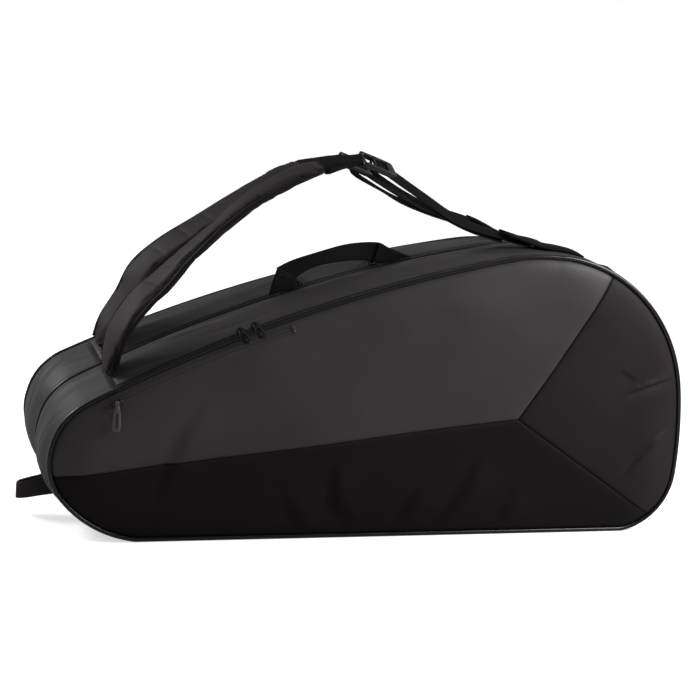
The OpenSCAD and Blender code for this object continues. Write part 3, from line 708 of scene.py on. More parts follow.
def cover(which, side, drop, crown, creases):
    """Three cloths of a cover, crowned over its padding and drawn in along their seams"""
    flat, faces = cover_sheet(drop, EDGE, COVER_GAP, True, [c for c in creases if c[2] < SHARP_CREASE])
    inset = inset_of(flat, drop)
    x, z = flat.T
    rise = roll(inset, crown)
    calm = np.clip((inset - 16) / 22, 0, 1)
    rise += calm * (1.3 * np.sin(x / 62 + z / 43) + 0.9 * np.sin(x / 39 - z / 57))
    rise -= 1.6 * np.exp(-((inset - EDGE) / 3) ** 2)
    gap = seam_gap(flat)
    drawn = 1.5 * np.exp(-(gap / 1.5) ** 2) + 0.5 * np.exp(-(gap / 7) ** 2)
    rise -= np.clip(inset / 12, 0.3, 1) * drawn
    for path, depth, width in creases:
        rise += np.clip((inset - 4) / 10, 0, 1) * crease(flat, path, depth, width)
    middle = flat[faces].mean(1) - SEAM_POINT
    turns = np.degrees(np.arctan2(middle[:, 1], middle[:, 0])) % 360
    for name, start, end, look in PANELS:
        mine = faces[(turns - start) % 360 < end - start]
        used, index = np.unique(mine, return_inverse=True)
        spots = flat[used].copy()
        for angle, sign in ((start, 1), (end, -1)):
            way = way_at(angle)
            over = sign * left_of(way)
            rel = spots - SEAM_POINT
            near = (rel @ way > -1) & (rel @ over < PANEL_GAP)
            spots[near] += (PANEL_GAP - rel[near] @ over)[:, None] * over
        depth = side * (GUSSET_D + rise[used])
        obj = wall(f"{which}_{name}_cloth", spots, index.reshape(-1, 3), depth, side * PANEL_T, look)
        place(obj, f"{which}_cover", look, f"{which}_{name}_panel")


# A lining's edge inside the outline, its depth behind the cover's seam, and thicknesses
LINING_EDGE = 3.9
LINING_BACK = 3.75
LINING_T = 0.7
DIVIDER_T = 1.8


def cover_inside(which, side, drop):
    """Lining on the inside of a cover, pushed out in soft waves by the foam behind it"""
    flat, faces = cover_sheet(drop, LINING_EDGE, WALL_GAP, False)
    soft = np.clip((inset_of(flat, drop) - 6) / 30, 0, 1)
    waves = soft * (0.5 * np.sin(flat[:, 0] / 23) * np.sin(flat[:, 1] / 29) - 0.6)
    depth = side * (GUSSET_D - LINING_BACK + waves)
    obj = wall(f"{which}_cover_lining", flat, faces, depth, side * LINING_T, "lining_cloth")
    place(obj, f"{which}_cover", "lining", f"{which}_lining", f"{which}_padding")


def divider():
    """Cloth wall between the compartments, hanging in shallow waves"""
    flat, faces = cover_sheet(MID_DROP, EDGE, WALL_GAP, False)
    soft = np.clip((inset_of(flat, MID_DROP) - 5) / 40, 0, 1)
    waves = soft * 1.6 * np.sin(flat[:, 0] / 61 + flat[:, 1] / 90)
    obj = wall("divider_cloth_wall", flat, faces, waves, -DIVIDER_T, "divider_cloth")
    place(obj, "core", "divider_cloth", "divider_panel")


# Gussets, piping and zips

GUSSET_ROWS = 51


def gusset(name, start, y, first, last, seed):
    """Loose cloth of a gusset from a distance behind its front seam, whose depth is given"""
    depths = y + np.linspace(start, GUSSET_D - EDGE, GUSSET_ROWS)
    return band(name, depths, first, last, 0, WALL, "gusset_cloth", seed)


def gussets():
    """Loose cloth round the two compartments"""
    behind_zip = ZIP_W + 0.3
    base_last = COUNT + TOP_FIRST
    middle = sum(STEPS[:8]) + STEPS[8] // 2
    top = gusset("front_top_gusset_cloth", behind_zip, -GUSSET_D, TOP_FIRST, TOP_LAST, 1.0)
    place(top, "core", "gusset_cloth", "front_top_gusset")
    base = gusset("front_base_gusset_cloth", EDGE, -GUSSET_D, TOP_LAST, base_last, 2.3)
    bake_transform(base)
    declare(base, "gusset_cloth", "front_base_gusset")
    top = gusset("rear_top_gusset_cloth", behind_zip, 0, TOP_FIRST, TOP_LAST, 4.1)
    place(top, "rear_cover", "gusset_cloth", "rear_top_gusset")
    for end, first, last, tilt in (("low", TOP_LAST, middle, 0.4635), ("tall", middle, base_last, 0.2705)):
        base = gusset(f"rear_base_gusset_cloth_{end}", EDGE, 0, first, last, 5.2)
        # Direction of a plane that leans forward to the top; nothing uses it
        way = np.array([0.0, 1.0, tilt])
        way /= way @ way
        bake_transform(base)
        declare(base, "gusset_cloth", "rear_base_gusset")


def pipings():
    """Vinyl piping in the three long seams"""
    r = PIPE_R + 0.5
    for which, y, drop, body in (("front", -GUSSET_D, 0, "front_cover"), ("mid", 0, MID_DROP, "core"),
                                 ("rear", GUSSET_D, REAR_DROP, "rear_cover")):
        path = rod_path(y, drop, 0, COUNT - 1, 0)
        path[:, 2] = np.maximum(path[:, 2], r)
        cord = make(f"{which}_piping_cord", *tube(path, r, 16, closed=True), "piping_vinyl")
        place(cord, body, "piping", f"{which}_piping")


def main_zips():
    """Tapes and nylon coils of the two main zips"""
    coil_room = 1.8
    before = (EDGE, ZIP_S - coil_room)
    behind = (ZIP_S + coil_room, ZIP_W)
    for node, y, (start, end), body in (
            ("front_zip_panel_tape", -GUSSET_D, before, "front_cover"),
            ("front_zip_gusset_tape", -GUSSET_D, behind, "core"),
            ("rear_zip_seam_tape", 0, before, "core"),
            ("rear_zip_gusset_tape", 0, behind, "rear_cover")):
        depths = y + np.linspace(start, end, 3)
        tape = band(f"{node}_cloth", depths, TOP_FIRST, TOP_LAST, -0.4, 1.2, "zip_tape_cloth")
        place(tape, body, "zip_tape", node)
    for node, y, drop, body in (("front_zip_coil", ZIP_S - GUSSET_D, 0, "front_cover"),
                                ("rear_zip_coil", ZIP_S, MID_DROP, "rear_cover")):
        path = spiral(rod_path(y, drop, TOP_FIRST, TOP_LAST, 0.6), 1.15, 0.95)
        place(make(f"{node}_nylon", *tube(path, 0.42, 5), "coil_nylon"), body, "zip_coil", node)


POCKET_INSET = 11.0
POCKET_X = -307.5
POCKET_Y = -110.186
POCKET_LEAN = 17.873
POCKET_LEFT_X = -321.0
POCKET_RIGHT_X = -114.0
POCKET_STEPS = 90
# Half of the pocket tape's section: distances from its slit, and heights
TAPE_OFF = np.array([0, 0.25, 0.55, 1.2, 2.4, 3.6, 4.6])
TAPE_LIFT = np.array([0.3, 0.7, 1.0, 0.95, 0.7, 0.3, 0.05])


def pocket_spot(a, inset, lift):
    """Points of the front cover's top edge at angles, inside the seam and out from its cloth"""
    flat = top_centre(0) + (TOP_R - inset) * way_at(a)
    return on_edge(flat, -(GUSSET_D + roll(inset, FRONT_CROWN) + PANEL_T / 2 + lift))


def pocket_zip():
    """Coated tape of the pocket zip, a soft ridge with a slit where its two sides meet over the coil"""
    angles = np.linspace(top_angle(0, POCKET_LEFT_X), top_angle(0, POCKET_RIGHT_X), POCKET_STEPS)
    insets = POCKET_INSET + np.concatenate([-TAPE_OFF[:0:-1], TAPE_OFF])
    lifts = np.concatenate([TAPE_LIFT[:0:-1], TAPE_LIFT])
    step = np.arange(POCKET_STEPS)
    ends = np.clip(np.minimum(step, POCKET_STEPS - 1 - step) / 3, 0.1, 1)
    along = np.radians(angles[0] - angles) * TOP_R
    outer = [pocket_spot(angles, inset, lift * ends) for inset, lift in zip(insets, lifts)]
    inner = [pocket_spot(angles, inset, -0.4) for inset in insets]
    cloth = [points_of(along, inset) for inset in insets]
    tape = sheet("pocket_zip_coated_tape", outer, inner, "coated_cloth", cloth)
    place(tape, "front_cover", "coated_cloth", "pocket_zip_tape")
    path = spiral(pocket_spot(angles, POCKET_INSET, 0.2), 0.3, 0.3)
    coil = make("pocket_zip_coil_nylon", *tube(path, 0.3, 5), "coil_nylon")
    place(coil, "front_cover", "zip_coil", "pocket_zip_coil")
    rows = []
    for k in range(4):
        angle = top_angle(0, POCKET_RIGHT_X - 1.3 * k)
        row = np.stack([pocket_spot(angle, inset, 1.5) for inset in np.linspace(6.6, 15.4, 14)])
        rows.append((row, (0, -1, 0)))
    place(stitches("pocket_bar_tack", rows, length=2.6, gap=0.6), "front_cover", "coated_cloth")


# Sliders and pulls. X runs along the zip, Y across it and Z out of it

PLATE_LOW = 2.49
BAR_N = 6.39
SHARP_EDGE = math.radians(50)


def turned(angle, axis):
    """Turn by an angle in degrees"""
    return Matrix.Rotation(math.radians(angle), 4, axis)


def at_zip(y, drop, x):
    """Place on a main zip"""
    c = top_centre(drop)
    lean = turned(90 - top_angle(drop, x), "Y")
    return Matrix.Translation((c[0], y, c[1])) @ lean @ Matrix.Translation((0, 0, TOP_R))


def at_pocket():
    """Place on the pocket zip"""
    angle = top_angle(0, POCKET_X)
    flat = top_centre(0) + (TOP_R - POCKET_INSET) * way_at(angle)
    lean = turned(90 - angle, "Y") @ turned(90 - POCKET_LEAN, "X")
    return Matrix.Translation((flat[0], POCKET_Y, flat[1])) @ lean


def moved(points, matrix):
    """Points moved by a matrix"""
    m = np.array(matrix)
    return points @ m[:3, :3].T + m[:3, 3]


def slab(half_x, half_y, power, low, high, taper=0.0, soft=0.3):
    """Rounded block between two heights, narrower to one end by a share"""
    x, y = blocky(36, 2 / power, 2 / power)
    rows = ((soft, low), (0, low + soft), (0, high - soft), (soft, high))
    return lofted([points_of((half_x - cut) * x, (half_y - cut) * y * (1 - taper * (x + 1) / 2), z)
                   for cut, z in rows])


def shifted(solid, *way):
    """Points and faces of a solid moved by a vector"""
    return solid[0] + np.array(way), solid[1]


def hardware(name, body, slot, points, faces, look):
    """Hard piece with its sharp edges kept, on the body of its own node"""
    obj = make(name, points, faces, look)
    obj.data.set_sharp_from_angle(angle=SHARP_EDGE)
    place(obj, body, slot, body)


def slider(name, matrix):
    """Zip slider: a shaped plate over two side rails, and a bridge with the bar for the pull"""
    parts = [slab(6.5, 4.0, 4.0, PLATE_LOW, PLATE_LOW + 1.4, 0.3)]
    parts += [shifted(slab(6.2, 0.95, 6.0, -0.1, PLATE_LOW + 0.3), 0, y, 0) for y in (-3.0, 3.0)]
    arch = ((-4.3, 3.4), (-4.35, 5.2), (-3.3, BAR_N), (0, BAR_N), (3.3, BAR_N), (4.35, 5.2), (4.3, 3.4))
    parts.append(tube(smooth_path([(x, 0, z) for x, z in arch], 30), 0.88, 10))
    points, faces = joined(parts)
    hardware(f"{name}_body", name, "slider_metal", moved(points, matrix), faces, "slider_paint")


PULL_L = 32.0


def paddle_ring(start, end, half_in, half_out, w, inset):
    """Ring in the shape of a pull, from its narrow end to its wide end"""
    u, v = blocky(48, 0.55, 0.7)
    half = half_in + (half_out - half_in) * ((u + 1) / 2) ** 0.8 - inset
    return points_of((start + end) / 2 + u * ((end - start) / 2 - inset), v * half, w)


def pull(name, matrix, lean, skew=0.0, look="pull_plastic"):
    """Moulded pull: a paddle with a long slot, and an eye round the slider's bar"""
    rings = []
    for w, inset in ((1.0, 0.5), (0.5, 0.0), (-0.5, 0.0), (-1.0, 0.5)):
        rings.append(paddle_ring(2.6, PULL_L, 3.0, 5.5, w, inset))
    for w, inset in ((-1.0, -0.3), (-0.6, 0.0), (0.6, 0.0), (1.0, -0.3)):
        rings.append(paddle_ring(PULL_L * 0.36, PULL_L * 0.87, 1.2, 1.6, w, inset))
    b = full_turn(10)
    r = 1.62 + 0.58 * np.cos(b)
    eye = [points_of(r * math.cos(t), 2.3 * np.sin(b), r * math.sin(t)) for t in full_turn(24)]
    neck = shifted(slab(1.6, 2.2, 5.0, -0.8, 0.8), 3.0, 0, 0)
    points, faces = joined([lofted(rings, closed=True), lofted(eye, closed=True), neck])
    out = math.radians(lean)
    axes = np.array([(0, math.cos(out), math.sin(out)), (1, 0, 0), (0, -math.sin(out), math.cos(out))])
    swing = Matrix.Translation((0, 0, BAR_N)) @ turned(skew, "Z")
    hardware(f"{name}_tag", name, "pull_plastic", moved(points @ axes, matrix @ swing), faces, look)


def sliders():
    """Sliders and pulls of the three zips"""
    front = (ZIP_S - GUSSET_D, 0)
    rear = (ZIP_S, MID_DROP)
    for name, x, spot, lean in (("front_left", -167.0, front, 196), ("front_right", -151.0, front, 196),
                                ("rear_left", -75.0, rear, 8), ("rear_right", 12.0, rear, 8)):
        slider(f"{name}_slider", at_zip(*spot, x))
        pull(f"{name}_pull", at_zip(*spot, x), lean)
    slider("pocket_slider", at_pocket())
    # The pocket pull's lighter grey is partly its own colour and partly painted highlight
    pull("pocket_pull", at_pocket(), 191, 90 - top_angle(0, POCKET_X), "grey_pocket_pull_painted_highlight")


# Grab handle and end loop

HANDLE_T = 1.9
# Parts of the handle: two edges (x, z), depth at its start, change to its end, bow between, and rows
HANDLE = {
    "left_leg": (((-114, 259.5), (-110.5, 275), (-106, 292)), ((-82, 268.8), (-81.5, 275), (-81, 281.5)),
                 -1.2, 0.5, 0, 24),
    "bow": (((-107, 291.5), (-90, 301), (-68, 309.5), (-33, 321), (-9, 325), (14, 325.5), (25, 321)),
            ((-82, 280.5), (-68, 291), (-50, 298), (-25, 302.5), (-5, 303.5), (6, 303), (13, 302)),
            1.0, 0, 3.0, 60),
    "right_leg": (((14, 325), (26, 320.5), (40, 315.5), (56, 310)),
                  ((9, 303), (17, 301), (24, 301.2), (31, 303)), -1.3, 0.6, 0, 30)}
# Where each leg of the grab handle bends out of the seam, in metres
HANDLE_BENDS = {
    "left_leg": ((-0.0992, 0, 0.2644), (-0.1017, 0, 0.273)),
    "right_leg": ((0.0349, 0, 0.3048), (0.0323, 0, 0.3134))}
HANDLE_STITCHES = np.array([(-109, 266), (-86, 272), (-85.5, 279), (-105, 286), (-108, 268)])


def flat_strip(name, edge_a, edge_b, start, change, bow, rows):
    """Webbing between two edges (x, z) near a depth"""
    a = smooth_path(edge_a, rows)
    b = smooth_path(edge_b, rows)
    t = np.linspace(0, 1, rows)
    shares = np.array([0, 0.04, 0.15, 0.35, 0.5, 0.65, 0.85, 0.96, 1])
    half = HANDLE_T / 2 * np.array([0.3, 0.85, 1, 1, 1, 1, 1, 0.85, 0.3])
    flat = a[:, None] * (1 - shares[:, None]) + b[:, None] * shares[:, None]
    depth = (start + change * t - bow * np.sin(np.pi * t) ** 2)[:, None]
    outer, inner = (on_edge(flat, depth + side * half) for side in (-1, 1))
    wide = np.linalg.norm(a - b, axis=1)[:, None]
    cloth = points_of(lengths((a + b) / 2)[:, None], shares * wide)
    return sheet(name, outer, inner, "webbing", cloth)


def grab_handle():
    """Handle of black webbing: two legs in the middle seam and a bowed band, folded at its corners"""
    for name, part in HANDLE.items():
        obj = flat_strip(f"grab_handle_{name}", *part)
        if name in HANDLE_BENDS:
            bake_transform(obj)
            declare(obj, "webbing", "grab_handle")
        else:
            place(obj, "handle", "webbing", "grab_handle")
    box = along_path(np.linspace(0, 1, 60), np.linspace(0, 1, len(HANDLE_STITCHES)), HANDLE_STITCHES)
    rows = [(on_edge(box, -2.0), (0, -1, 0))]
    place(stitches("grab_handle_stitches", rows), "handle", "webbing")


# Section of webbing: shares of its half width, and of its thickness there
WEB_SHARES = np.array([-1, -0.93, -0.6, -0.2, 0.2, 0.6, 0.93, 1])
WEB_ROUND = np.array([0.35, 0.9, 1, 1, 1, 1, 0.9, 0.35])
# End loop: half of its path (x, y), and its middle and half height at distances from the seam
LOOP_X = -336.0
LOOP_HALF = ((LOOP_X, 1.15), (-342, 1.2), (-349, 1.6), (-357, 3.6), (-368, 5.0), (-380, 5.0), (-387.5, 3.8))
LOOP_AT = (0, 6, 16, 30, 55)
LOOP_MIDDLE = (44, 40, 34.5, 31, 26)
LOOP_TALL = (24, 19, 13, 11, 9.6)


def end_loop():
    """Webbing loop at the low end: two layers, flared along the seam, that part round a finger's room"""
    path = smooth_path([(x, -y) for x, y in LOOP_HALF] + [(-390.8, 0)] + list(LOOP_HALF[::-1]), 90)
    thin = 0.95 * WEB_ROUND
    reach = np.clip(LOOP_X - path[:, 0], 0, None)
    tall = np.interp(reach, LOOP_AT, LOOP_TALL)
    heights = np.interp(reach, LOOP_AT, LOOP_MIDDLE)[:, None] + tall[:, None] * WEB_SHARES
    seam, _ = outline(MID_DROP, 2.6)
    seam = seam[(seam[:, 0] < -200) & (seam[:, 1] > 4) & (seam[:, 1] < 110)]
    seam = seam[np.argsort(seam[:, 1])]
    shift = np.interp(heights, seam[:, 1], seam[:, 0]) - LOOP_X
    out = left_of(ahead_on(path))
    near = np.clip(1 - reach / 26, 0, 1)
    x = path[:, :1] + near[:, None] * shift
    outer, inner = (
        points_of(x + side * out[:, :1] * thin, path[:, 1:] + side * out[:, 1:] * thin, heights)
        for side in (1, -1))
    cloth = points_of(lengths(path)[:, None], WEB_W / 2 * WEB_SHARES)
    # The loop's webbing carries painted light: it is coloured paler than the handle's for the light its end
    # catches from the left
    obj = sheet("end_loop_webbing", outer, inner, "loop_webbing_painted_light", cloth)
    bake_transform(obj)
    declare(obj, "webbing", "end_loop")


# Shoulder straps

def applied(obj):
    """Keeps what a piece's modifiers give"""
    graph = bpy.context.evaluated_depsgraph_get()
    mesh = bpy.data.meshes.new_from_object(obj.evaluated_get(graph))
    obj.modifiers.clear()
    obj.data = mesh


def coordinates(mesh):
    """Points of a mesh in metres"""
    flat = np.zeros(len(mesh.vertices) * 3, np.float32)
    mesh.vertices.foreach_get("co", flat)
    return flat.reshape(-1, 3)


def remeshed(obj, size):
    """Turns a piece into one even skin"""
    step = obj.modifiers.new("skin", "REMESH")
    step.mode = "VOXEL"
    step.voxel_size = size * MM
    applied(obj)


SIM_FRAMES = 20
SIM_PRESSURE = 4.0
PAD_SKIN = 4.0
PAD_SWELL = 4.0


def swollen(obj, cap):
    """Swells a padded piece by simulated cloth under pressure; no point moves further than the cap"""
    scene = bpy.context.scene
    rest = coordinates(obj.data)
    cloth = obj.modifiers.new("cloth", "CLOTH")
    cloth.settings.use_pressure = True
    cloth.settings.uniform_pressure_force = SIM_PRESSURE
    cloth.settings.effector_weights.gravity = 0.0
    for number in range(1, SIM_FRAMES + 1):
        scene.frame_set(number)
    graph = bpy.context.evaluated_depsgraph_get()
    way = coordinates(obj.evaluated_get(graph).data) - rest
    obj.modifiers.clear()
    scene.frame_set(1)
    far = np.linalg.norm(way, axis=1, keepdims=True)
    way *= np.minimum(1.0, cap * MM / np.maximum(far, 1e-9))
    obj.data.vertices.foreach_set("co", (rest + way).ravel())
    step = obj.modifiers.new("finer", "SUBSURF")
    step.levels = 1
    applied(obj)
    obj.data.shade_smooth()


def ribbon(name, path, tilts, widths, thick, look):
    """Flat webbing along a path, its width tilted by angles in degrees"""
    side = tilted(path, tilts)
    up = unit(np.cross(ahead_on(path), side))
    half, wide = (np.broadcast_to(size, len(path))[:, None] / 2 * shares
                  for size, shares in ((thick, WEB_ROUND), (widths, WEB_SHARES)))
    middle = path[:, None] + side[:, None] * wide[..., None]
    rise = up[:, None] * half[..., None]
    cloth = points_of(lengths(path)[:, None], wide)
    return sheet(name, middle + rise, middle - rise, look, cloth)


def tilted(path, tilts):
    """Direction of a strap's width along its path: level, tilted by angles in degrees"""
    ahead = ahead_on(path)
    level = unit(REARWARD - ahead * ahead[:, 1:2])
    a = np.radians(np.broadcast_to(tilts, len(path)))[:, None]
    return level * np.cos(a) + np.cross(ahead, level) * np.sin(a)


def on_arc(y, angle, centre, r):
    """Point on a plain, fully swollen gusset's top, at an angle of one of its arcs"""
    flat = centre + (r + swell(y)) * way_at(angle)
    return on_edge(flat, y)


def on_top(y, angle, centre, r, out):
    """Point on the outside of a gusset's top as its cloth lies, at an angle of one of its arcs"""
    edge = centre + r * way_at(angle)
    near = np.argmin(np.linalg.norm(outline(drop_at(y))[0] - edge, axis=1))
    flat = edge + (fullness()[near] + swell(y) * puff(OUTLINE_AT[near]) + out) * way_at(angle)
    return on_edge(flat, y)


# Width of a pad at its foot, in its middle and at its high end, and shares of its length
PAD_FOOT_W = 14
PAD_W = 54
PAD_END_W = 42
PAD_FOOT = 0.11
PAD_NARROWS = 0.84


def pad_widths(t):
    """Width of a shoulder pad along its length"""
    foot = PAD_FOOT_W + (PAD_W - PAD_FOOT_W) * np.sin(np.pi / 2 * np.clip(t / PAD_FOOT, 0, 1))
    beyond = np.clip(t - PAD_FOOT, 0, 1) / (1 - PAD_FOOT)
    return np.where(t < PAD_FOOT, foot, PAD_W - (PAD_W - PAD_END_W) * beyond ** 3)


# Middle line of each pad above its tab, and its tilt to the front along it, in degrees
PAD_SPOTS = {
    "front": ((-303.5, -62, 180.5), (-302, -55, 204), (-296, -52.5, 225), (-285, -51, 246),
              (-269, -50, 267), (-252, -49, 283), (-224, -46, 312), (-187, -44, 347), (-155, -43, 376),
              (-114, -41, 401), (-78, -39, 417)),
    "rear": ((-302, 52, 183), (-288, 52, 206), (-269, 51, 239), (-254, 50.5, 272), (-226, 48, 300),
             (-186, 45, 329.5), (-141, 42, 363), (-98, 40, 391), (-72, 38.5, 403.5))}
PAD_TILTS = {"front": (9, 9, 11, -1, -9, -2, 4, 8), "rear": (17, 16, 16, 15, 12, 9, 9, 8)}
PAD_TILT_AT = (0, 0.1, 0.25, 0.4, 0.55, 0.7, 0.85, 1)
# Half width of a pad's bound edge, and room for its foam, where it narrows into the sleeve
PAD_NARROW_AT = (PAD_NARROWS, 0.905, 1)
PAD_NARROW = (40, 19, 13)
PAD_ROOM = (20, 3.6, 2.4)
# Creases across a pad: share of its length, and depth
PAD_CREASES = ((0.30, 0.9), (0.37, 0.8), (0.47, 0.7), (0.56, 0.8), (0.72, 0.6))
BINDING_SIDES = 10
BINDING_IN = 0.8
PAD_STITCH_IN = 4.7
STRAP_FOOT_X = -293.0
STRAP_REACH = 248.0
STRAP_IN = 14.0
LOW_TAB_TOP = 18.0 * np.array([0.28, 0, 1.11])
LOCK_L = 40.0
LOCK_W = 34.0
LOCK_TILT = 19.0
LOCK_ROLL = 15.0
LOCK_AHEAD = np.array([16.0, 0, 3.0])
LOCK_MIDDLE_BAR = LOCK_L * 0.42


def strap(which, y, rise, base_body):
    """Shoulder strap: bound pad, sleeve, ladder lock, adjusting webbing with its tail, and two tabs"""
    body = f"{which}_strap"
    drop = drop_at(y)
    foot_at = (y, top_angle(drop, STRAP_FOOT_X), top_centre(drop), TOP_R)
    tab_top = on_arc(*foot_at) + LOW_TAB_TOP
    end = tab_top + np.array([STRAP_REACH, -math.copysign(STRAP_IN, y), rise + 1])
    path = smooth_path(PAD_SPOTS[which] + (tuple(end),), 90)
    start = end + LOCK_AHEAD
    pad(which, path)
    sleeve(which, path, end, body)
    ladder_lock(which, start, body)
    strap_webbing(which, y, start, drop, body)
    tabs(which, y, on_top(*foot_at, 0), tab_top, drop, base_body)


def pad(which, path):
    """Foam pad swollen by simulation, then bound along both edges and sewn"""
    t = np.linspace(0, 1, len(path))
    at_path = lengths(path)
    side = tilted(path, np.interp(t, PAD_TILT_AT, PAD_TILTS[which]))
    ahead = ahead_on(path)
    up = np.cross(ahead, side)
    wide = pad_widths(t)
    thick = np.interp(t, [0, 0.06, 0.2, PAD_NARROWS, 0.93, 1], [6.0, 6.5, 6.5, 6.5, 4.0, 3.0])
    foam = flat_tube(path, side, wide, thick, blocky(28, 0.6, 0.8))
    obj = make(f"{which}_strap_pad_foam", *foam, "strap_pad_cloth")
    remeshed(obj, PAD_SKIN)
    swollen(obj, PAD_SWELL)
    spots = coordinates(obj.data) / MM
    near = np.array([np.argmin(np.sum((path - p) ** 2, axis=1)) for p in spots])
    rel = spots - path[near]
    sideways, lift, along = (np.sum(rel * way[near], axis=1) for way in (side, up, ahead))
    along = at_path[near] + along
    half = np.minimum(wide / 2 - BINDING_IN, np.interp(t, PAD_NARROW_AT, PAD_NARROW) - 1)
    to_edge = np.zeros(len(spots))
    for edge in (-1, 1):
        reach = [np.max(edge * sideways[np.abs(along - at) < 7], initial=1.0) for at in at_path]
        grow = (half + BINDING_IN) / np.maximum(reach, 0.5 * half)
        to_edge += np.where(edge * sideways > 0, sideways * (grow[near] - 1), 0)
    room = np.interp(t[near], PAD_NARROW_AT, PAD_ROOM)
    spots += side[near] * to_edge[:, None]
    spots += up[near] * (np.clip(lift, -room, room) - lift)[:, None]
    sideways = sideways + to_edge
    fade = np.clip((sideways + 26) / 30, 0, 1) * np.clip((18 - sideways) / 20, 0, 1)
    for at, depth in PAD_CREASES:
        gap = along - at * at_path[-1] + 0.25 * sideways
        spots -= up[near] * (depth * fade * np.exp(-(gap / 3.0) ** 2))[:, None]
    obj.data.vertices.foreach_set("co", (spots * MM).astype(np.float32).ravel())
    set_cloth(obj, points_of(along, sideways))
    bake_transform(obj)
    declare(obj, "strap_pad_cloth", f"{which}_strap_pad")
    keep = slice(2, -6)
    radius = np.interp(t[keep], [0, PAD_NARROWS, 0.9], [2.7, 2.7, 1.6])
    rows = []
    for edge, name in ((-1, "front"), (1, "back")):
        line = (path + side * (edge * half)[:, None])[keep]
        cloth = points_of(lengths(line)[:, None], np.arange(BINDING_SIDES) * 1.7).reshape(-1, 2)
        bound = make(f"{which}_strap_binding_{name}", *tube(line, radius, BINDING_SIDES), "webbing", cloth)
        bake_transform(bound)
        declare(bound, "webbing")
        inside = path + side * (edge * (half - PAD_STITCH_IN))[:, None] + up * (thick / 2 + 1.4)[:, None]
        rows.append((inside[keep], up[keep]))
    sewn = stitches(f"{which}_strap_pad_stitches", rows)
    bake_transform(sewn)
    declare(sewn, "webbing")


def sleeve(which, path, end, body):
    """Folded webbing that wraps the pad's high end and holds the buckle's first bar"""
    back = path[np.argmin(np.abs(path[:, 0] - (end[0] - 33)))]
    spots = [back, (back + end) / 2 + (0, 0, 0.5), end, end + (9, 0, 1.6), end + (17, 0, 3.2)]
    line = smooth_path(spots, 24)
    t = np.linspace(0, 1, 24)
    wide = np.interp(t, [0, 0.08, 0.6, 1], [42.5, 43.5, 30, 26])
    thick = np.interp(t, [0, 0.08, 0.55, 0.85, 1], [10.0, 11.0, 7.0, 4.5, 4.0])
    side = tilted(line, np.interp(t, [0, 0.4, 1], [8, 8, LOCK_ROLL]))
    corners = blocky(32, 0.5, 0.7)
    cloth = points_of(lengths(line)[:, None], corners[0] * 15).reshape(-1, 2)
    wrap = flat_tube(line, side, wide, thick, corners)
    # The sleeve's webbing carries painted shade: it is coloured darker than the handle's for the stronger
    # light on the straps
    obj = make(f"{which}_strap_sleeve_webbing", *wrap, "strap_nylon", cloth)
    place(obj, body, "webbing", f"{which}_strap_sleeve")


def ladder_lock(which, start, body):
    """Moulded ladder lock: two rails and three bars, melted into one, its far end raised as a grip"""
    rail = slab(LOCK_L / 2, 2.4, 4.0, -3.2, 3.4, 0.0, 0.8)
    parts = [shifted(rail, LOCK_L / 2 - 2, side * (LOCK_W / 2 - 2), 0) for side in (-1, 1)]
    for x, r in ((0.0, 2.2), (LOCK_MIDDLE_BAR, 2.4), (LOCK_L * 0.86, 2.8)):
        bar = [(x, y, 0) for y in np.linspace(-LOCK_W / 2 + 1, LOCK_W / 2 - 1, 12)]
        parts.append(tube(bar, r, 12))
    parts.append(shifted(slab(3.0, LOCK_W / 2, 5.0, -1.6, 2.4, 0.0, 0.6), LOCK_L * 0.93, 0, 0.6))
    points, faces = joined(parts)
    lean = Matrix.Translation(tuple(start)) @ turned(LOCK_TILT, "Y") @ turned(LOCK_ROLL, "X")
    obj = make(f"{which}_ladder_lock_body", moved(points, lean), faces, "buckle_plastic")
    remeshed(obj, 0.8)
    soft = obj.modifiers.new("soft", "SMOOTH")
    soft.factor = 0.5
    soft.iterations = 4
    applied(obj)
    obj.data.shade_smooth()
    place(obj, body, "buckle_plastic", f"{which}_ladder_lock")


# How the adjusting webbing sags: shares of its span along, and of its fall
WEB_AT = (0.16, 0.33, 0.48, 0.63, 0.78, 0.88)
WEB_FALL = {"front": (0.22, 0.45, 0.65, 0.78, 0.87, 0.94), "rear": (0.21, 0.42, 0.58, 0.68, 0.76, 0.84)}
# How far the loose tail hangs below the webbing: its steps, and heights
TAIL_GAPS = ((12, 10.0), (22, 9.0), (32, 5.0), (44, 3.4), (57, 2.6))
# How far the tabs on the round top lift off it: turns round it, and heights
TAB_TURNS = (71, 74, 79, 84, 88, 92, 96, 99)
TAB_LIFTS = {"front": (1.6, 2.4, 2.4, 3.2, 5.4, 9.4, 14.8, 19.6),
             "rear": (1.6, 2.4, 2.4, 3.4, 6.2, 12.2, 20.5, 26.5)}


